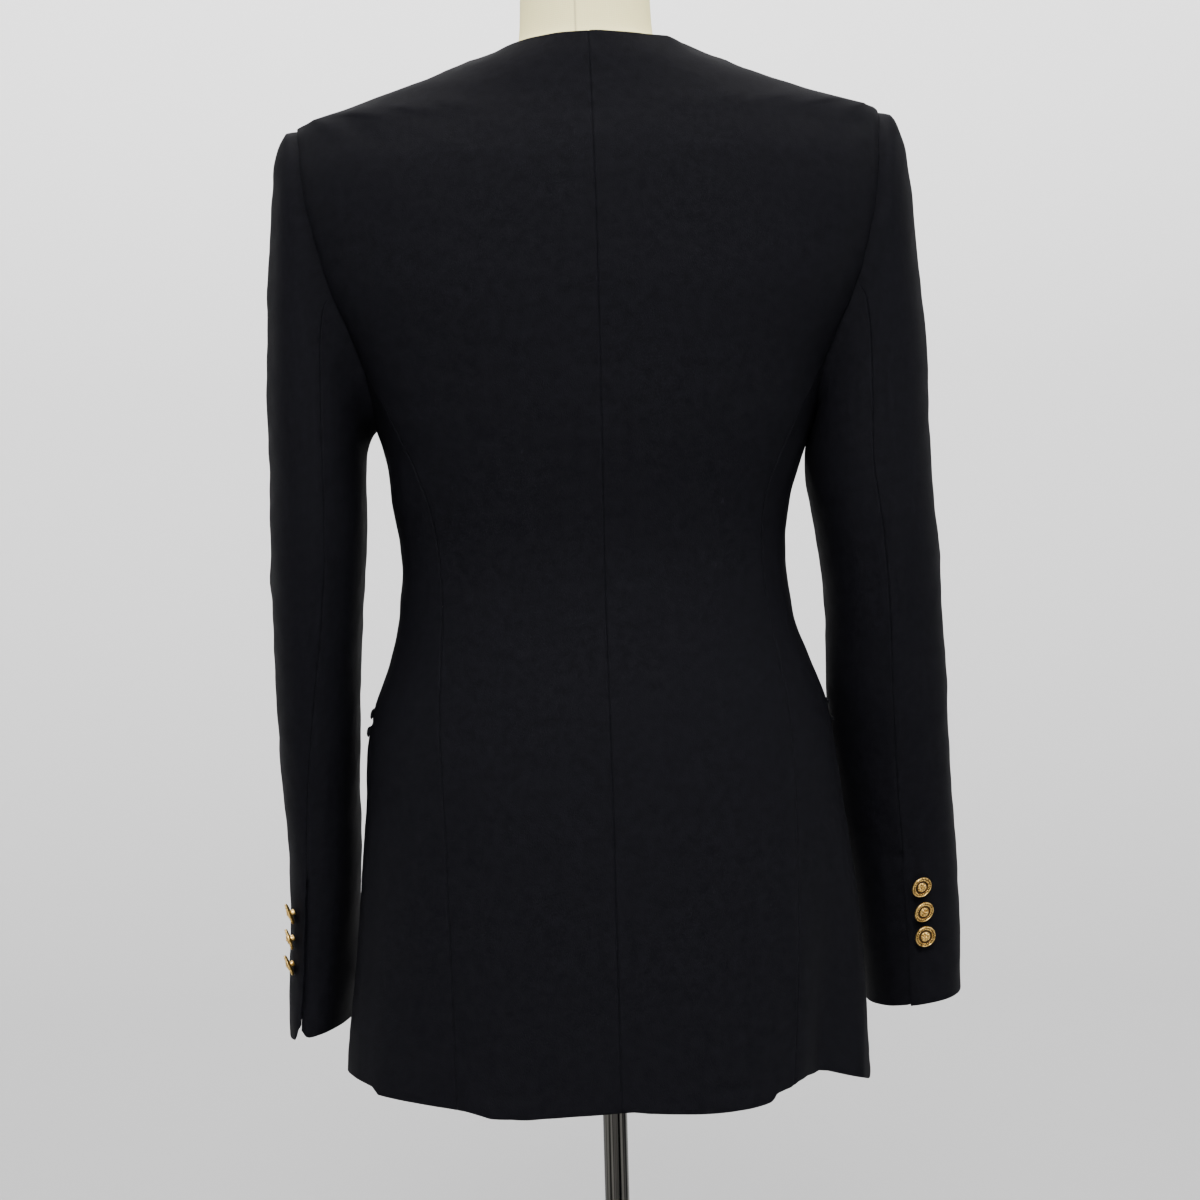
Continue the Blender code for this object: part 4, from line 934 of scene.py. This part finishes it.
# the faces in the sunken rings take the patina and its painted shade
for face in button.data.polygons:
    away = math.hypot(face.center.x, face.center.y) / BUTTON_RADIUS
    if face.center.z > DARK_ABOVE and any(low <= away < high for low, high in DARK_RINGS):
        face.material_index = 1
knobs = []
for kind in (BEADS, PETALS, BOSS):
    count, away, height, radius, segments, rings = kind
    for turn in (2 * math.pi * i / count for i in range(count)):
        place = (away * math.cos(turn), away * math.sin(turn), height)
        bpy.ops.mesh.primitive_uv_sphere_add(segments=segments, ring_count=rings, radius=radius,
                                             location=place)
        knobs.append(bpy.context.object)
        if kind is PETALS:
            bpy.ops.object.mode_set(mode="EDIT")
            bpy.ops.mesh.select_all(action="SELECT")
            bpy.ops.transform.resize(value=PETAL_SHAPE, center_override=place)
            bpy.ops.transform.rotate(value=-turn, orient_axis="Z", center_override=place)
            bpy.ops.object.mode_set(mode="OBJECT")
picked(button)
for knob in knobs:
    knob.data.materials.append(gold)
    knob.select_set(True)
bpy.ops.object.join()
bpy.ops.object.transform_apply(location=True, rotation=True, scale=True)
bpy.ops.object.shade_smooth_by_angle(angle=math.radians(40))

# where the face of each cuff button looks, drooping and turning on its shank
FACES = {
    "cuff_button_left_1": (0.93, 0.10, -0.36), "cuff_button_left_2": (0.94, 0.16, -0.30),
    "cuff_button_left_3": (0.92, 0.13, -0.38), "cuff_button_right_1": (-0.36, 0.97, -0.38),
    "cuff_button_right_2": (-0.40, 0.95, -0.36), "cuff_button_right_3": (-0.24, 0.97, -0.24),
}
# name, where it faces, its radius and how far its shank holds it off the cloth
BUTTONS = [(f"cuff_button_left_{n}", (1, 0, 0), BUTTON_RADIUS, 0.0011) for n in (1, 2, 3)]
BUTTONS += [(f"cuff_button_right_{n}", (0, 1, 0), BUTTON_RADIUS, 0.0017) for n in (1, 2, 3)]
BUTTONS += [(f"front_button_{n}", (0, -1, 0), 0.0100, 0.0006) for n in (1, 2, 3)]
for node, outwards, radius, ease in BUTTONS:
    spots = np.array([v.co[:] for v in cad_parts[node].data.vertices])
    middle = spots.mean(axis=0)
    axis = np.linalg.svd(spots - middle)[2][2]
    if axis @ np.array(outwards) < 0:
        axis = -axis
    seat = middle + axis * (((spots - middle) @ axis).min() + ease)
    if node in FACES:
        axis = np.array(FACES[node]) / np.linalg.norm(FACES[node])
    up = Vector((0, 0, 1)) - Vector(axis) * axis[2]
    up.normalize()
    across = up.cross(Vector(axis))
    turn = Matrix((across, up, Vector(axis))).transposed().to_4x4()
    wider = radius / BUTTON_RADIUS
    size = Matrix.Diagonal((wider, wider, NODE_HEIGHT / BUTTON_HEIGHT, 1))
    piece = button.copy()
    piece.data = button.data.copy()
    piece.name = piece.data.name = node.replace("_button_", "_gilt_")
    bpy.context.scene.collection.objects.link(piece)
    piece.data.transform(Matrix.Translation(seat) @ turn @ size)
    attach(piece, "root")
    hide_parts(node)
bpy.data.objects.remove(button)


# ---- Buttonholes -----------------------------------------------------------------------
# Three slits across the right front, each whipped round with black silk thread. A button's
# shank comes through near one end, so the other end shows beside the button.
HOLE_HALF, HOLE_LENGTH, THREAD = 0.0012, 0.0225, 0.00048
HOLE_ENDS_AT = 0.0035                        # past the middle of the button
HOLE_PROUD = 0.8 * THREAD
IN_FRONT = -0.4                              # a place in front of the jacket

thread, place = finish_of("buttonhole thread", {"Specular IOR Level": 0.35, "IOR": 1.5})
stitches = place.bands("X", 560.0, 0.6, 1.0)
wire(thread, {
    "Base Color": stitches.mixed((0.0035, 0.0035, 0.0045, 1), (0.013, 0.013, 0.016, 1)),
    "Roughness": 0.62 - 0.18 * stitches,
    "Normal": stitches.bumps(0.8, 0.00025),
})
stretch = HOLE_LENGTH / 2 - HOLE_HALF
for number in (1, 2, 3):
    low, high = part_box(f"front_button_{number}")
    middle = ((low[0] + high[0] - HOLE_LENGTH) / 2 + HOLE_ENDS_AT, 0, (low[2] + high[2]) / 2)
    bpy.ops.mesh.primitive_torus_add(major_segments=48, minor_segments=10,
                                     major_radius=HOLE_HALF, minor_radius=THREAD)
    hole = bpy.context.object
    hole.name = hole.data.name = f"buttonhole_{number}"
    bpy.ops.object.mode_set(mode="EDIT")
    bpy.ops.mesh.select_mode(type="VERT")
    for side in (-1, 1):                     # draw the ring out into a long loop
        bpy.ops.mesh.select_all(action="DESELECT")
        bpy.ops.object.mode_set(mode="OBJECT")
        for v in hole.data.vertices:
            v.select = v.co.x * side > 0.00001
        bpy.ops.object.mode_set(mode="EDIT")
        bpy.ops.transform.translate(value=(side * stretch, 0, 0))
    bpy.ops.object.mode_set(mode="OBJECT")
    hole.data.transform(Matrix.Translation(middle) @ Matrix.Rotation(math.radians(90), 4, "X"))
    for v in hole.data.vertices:             # and lay it on the front's surface
        hit = panels["front_right"].ray_cast(Vector((v.co.x, IN_FRONT, v.co.z)), Vector((0, 1, 0)))
        v.co.y += hit[1].y - HOLE_PROUD
    bpy.ops.object.shade_smooth()
    hole.data.materials.append(thread)
    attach(hole, "root")


# ---- Studio ----------------------------------------------------------------------------
# A pale floor that runs up into a round backdrop without an edge, under broad soft lights. Its
# paper is painted darker low down and near the middle, as painted shade.
FLOOR_RADIUS, CURVE_RADIUS, WALL_TOP = 2.60, 1.30, 4.2
STUDIO_RINGS = [(FLOOR_RADIUS, 0.0)]
STUDIO_RINGS += [(FLOOR_RADIUS + CURVE_RADIUS * math.sin(t), CURVE_RADIUS * (1 - math.cos(t)))
                 for t in map(math.radians, range(6, 91, 6))]
STUDIO_RINGS += [(FLOOR_RADIUS + CURVE_RADIUS, 2.4), (FLOOR_RADIUS + CURVE_RADIUS, WALL_TOP)]

# each light: its name, place, aim, size in metres and power in watts
LIGHTS = [
    ("key", (0.12, 2.3, 2.5), (0, 0, 0.8), 0.9, 100),
    ("fill", (-2.2, 1.2, 2.4), (0, 0, 0.8), 1.8, 20),
    ("overhead", (0.0, -1.2, 3.9), (0, -2.9, 1.9), 3.0, 240),
]

studio = turned("studio", STUDIO_RINGS, 128)
bpy.ops.object.mode_set(mode="EDIT")
bpy.ops.mesh.select_all(action="DESELECT")
bpy.ops.object.mode_set(mode="OBJECT")
for face in studio.data.polygons:
    face.select = face.center.z > WALL_TOP - 0.01
bpy.ops.object.mode_set(mode="EDIT")
bpy.ops.mesh.delete(type="FACE")
bpy.ops.mesh.select_all(action="SELECT")
bpy.ops.mesh.flip_normals()
bpy.ops.object.mode_set(mode="OBJECT")
bpy.ops.object.shade_smooth()
# Painted shade and light: the paper's colour runs from dark near the floor's middle to pale high up
# and far out.
paper, place = finish_of("paper", {"Specular IOR Level": 0.1, "Roughness": 0.9})
away = place.node("ShaderNodeVectorMath", {"operation": "LENGTH"}, {"Vector": place}, out=1)
painted_light = (place.along(2) + 0.30 * away).between(0.1, 3.7)
wire(paper, {"Base Color": painted_light.mixed((0.38, 0.38, 0.383, 1), (0.88, 0.88, 0.887, 1))})
studio.data.materials.append(paper)

world = bpy.data.worlds.new("studio")
bpy.context.scene.world = world
world.use_nodes = True
sky = world.node_tree.nodes["Background"].inputs
sky["Color"].default_value, sky["Strength"].default_value = (0.93, 0.96, 1.0, 1), 0.95
for name, place, aim, size, power in LIGHTS:
    bpy.ops.object.light_add(type="AREA", location=place)
    lamp = bpy.context.object
    lamp.name = lamp.data.name = name
    lamp.data.shape = "DISK"
    lamp.data.size, lamp.data.energy = size, power
    lamp.data.color = (1.0, 0.985, 0.965)
    lamp.rotation_euler = (Vector(aim) - Vector(place)).to_track_quat("-Z", "Y").to_euler()
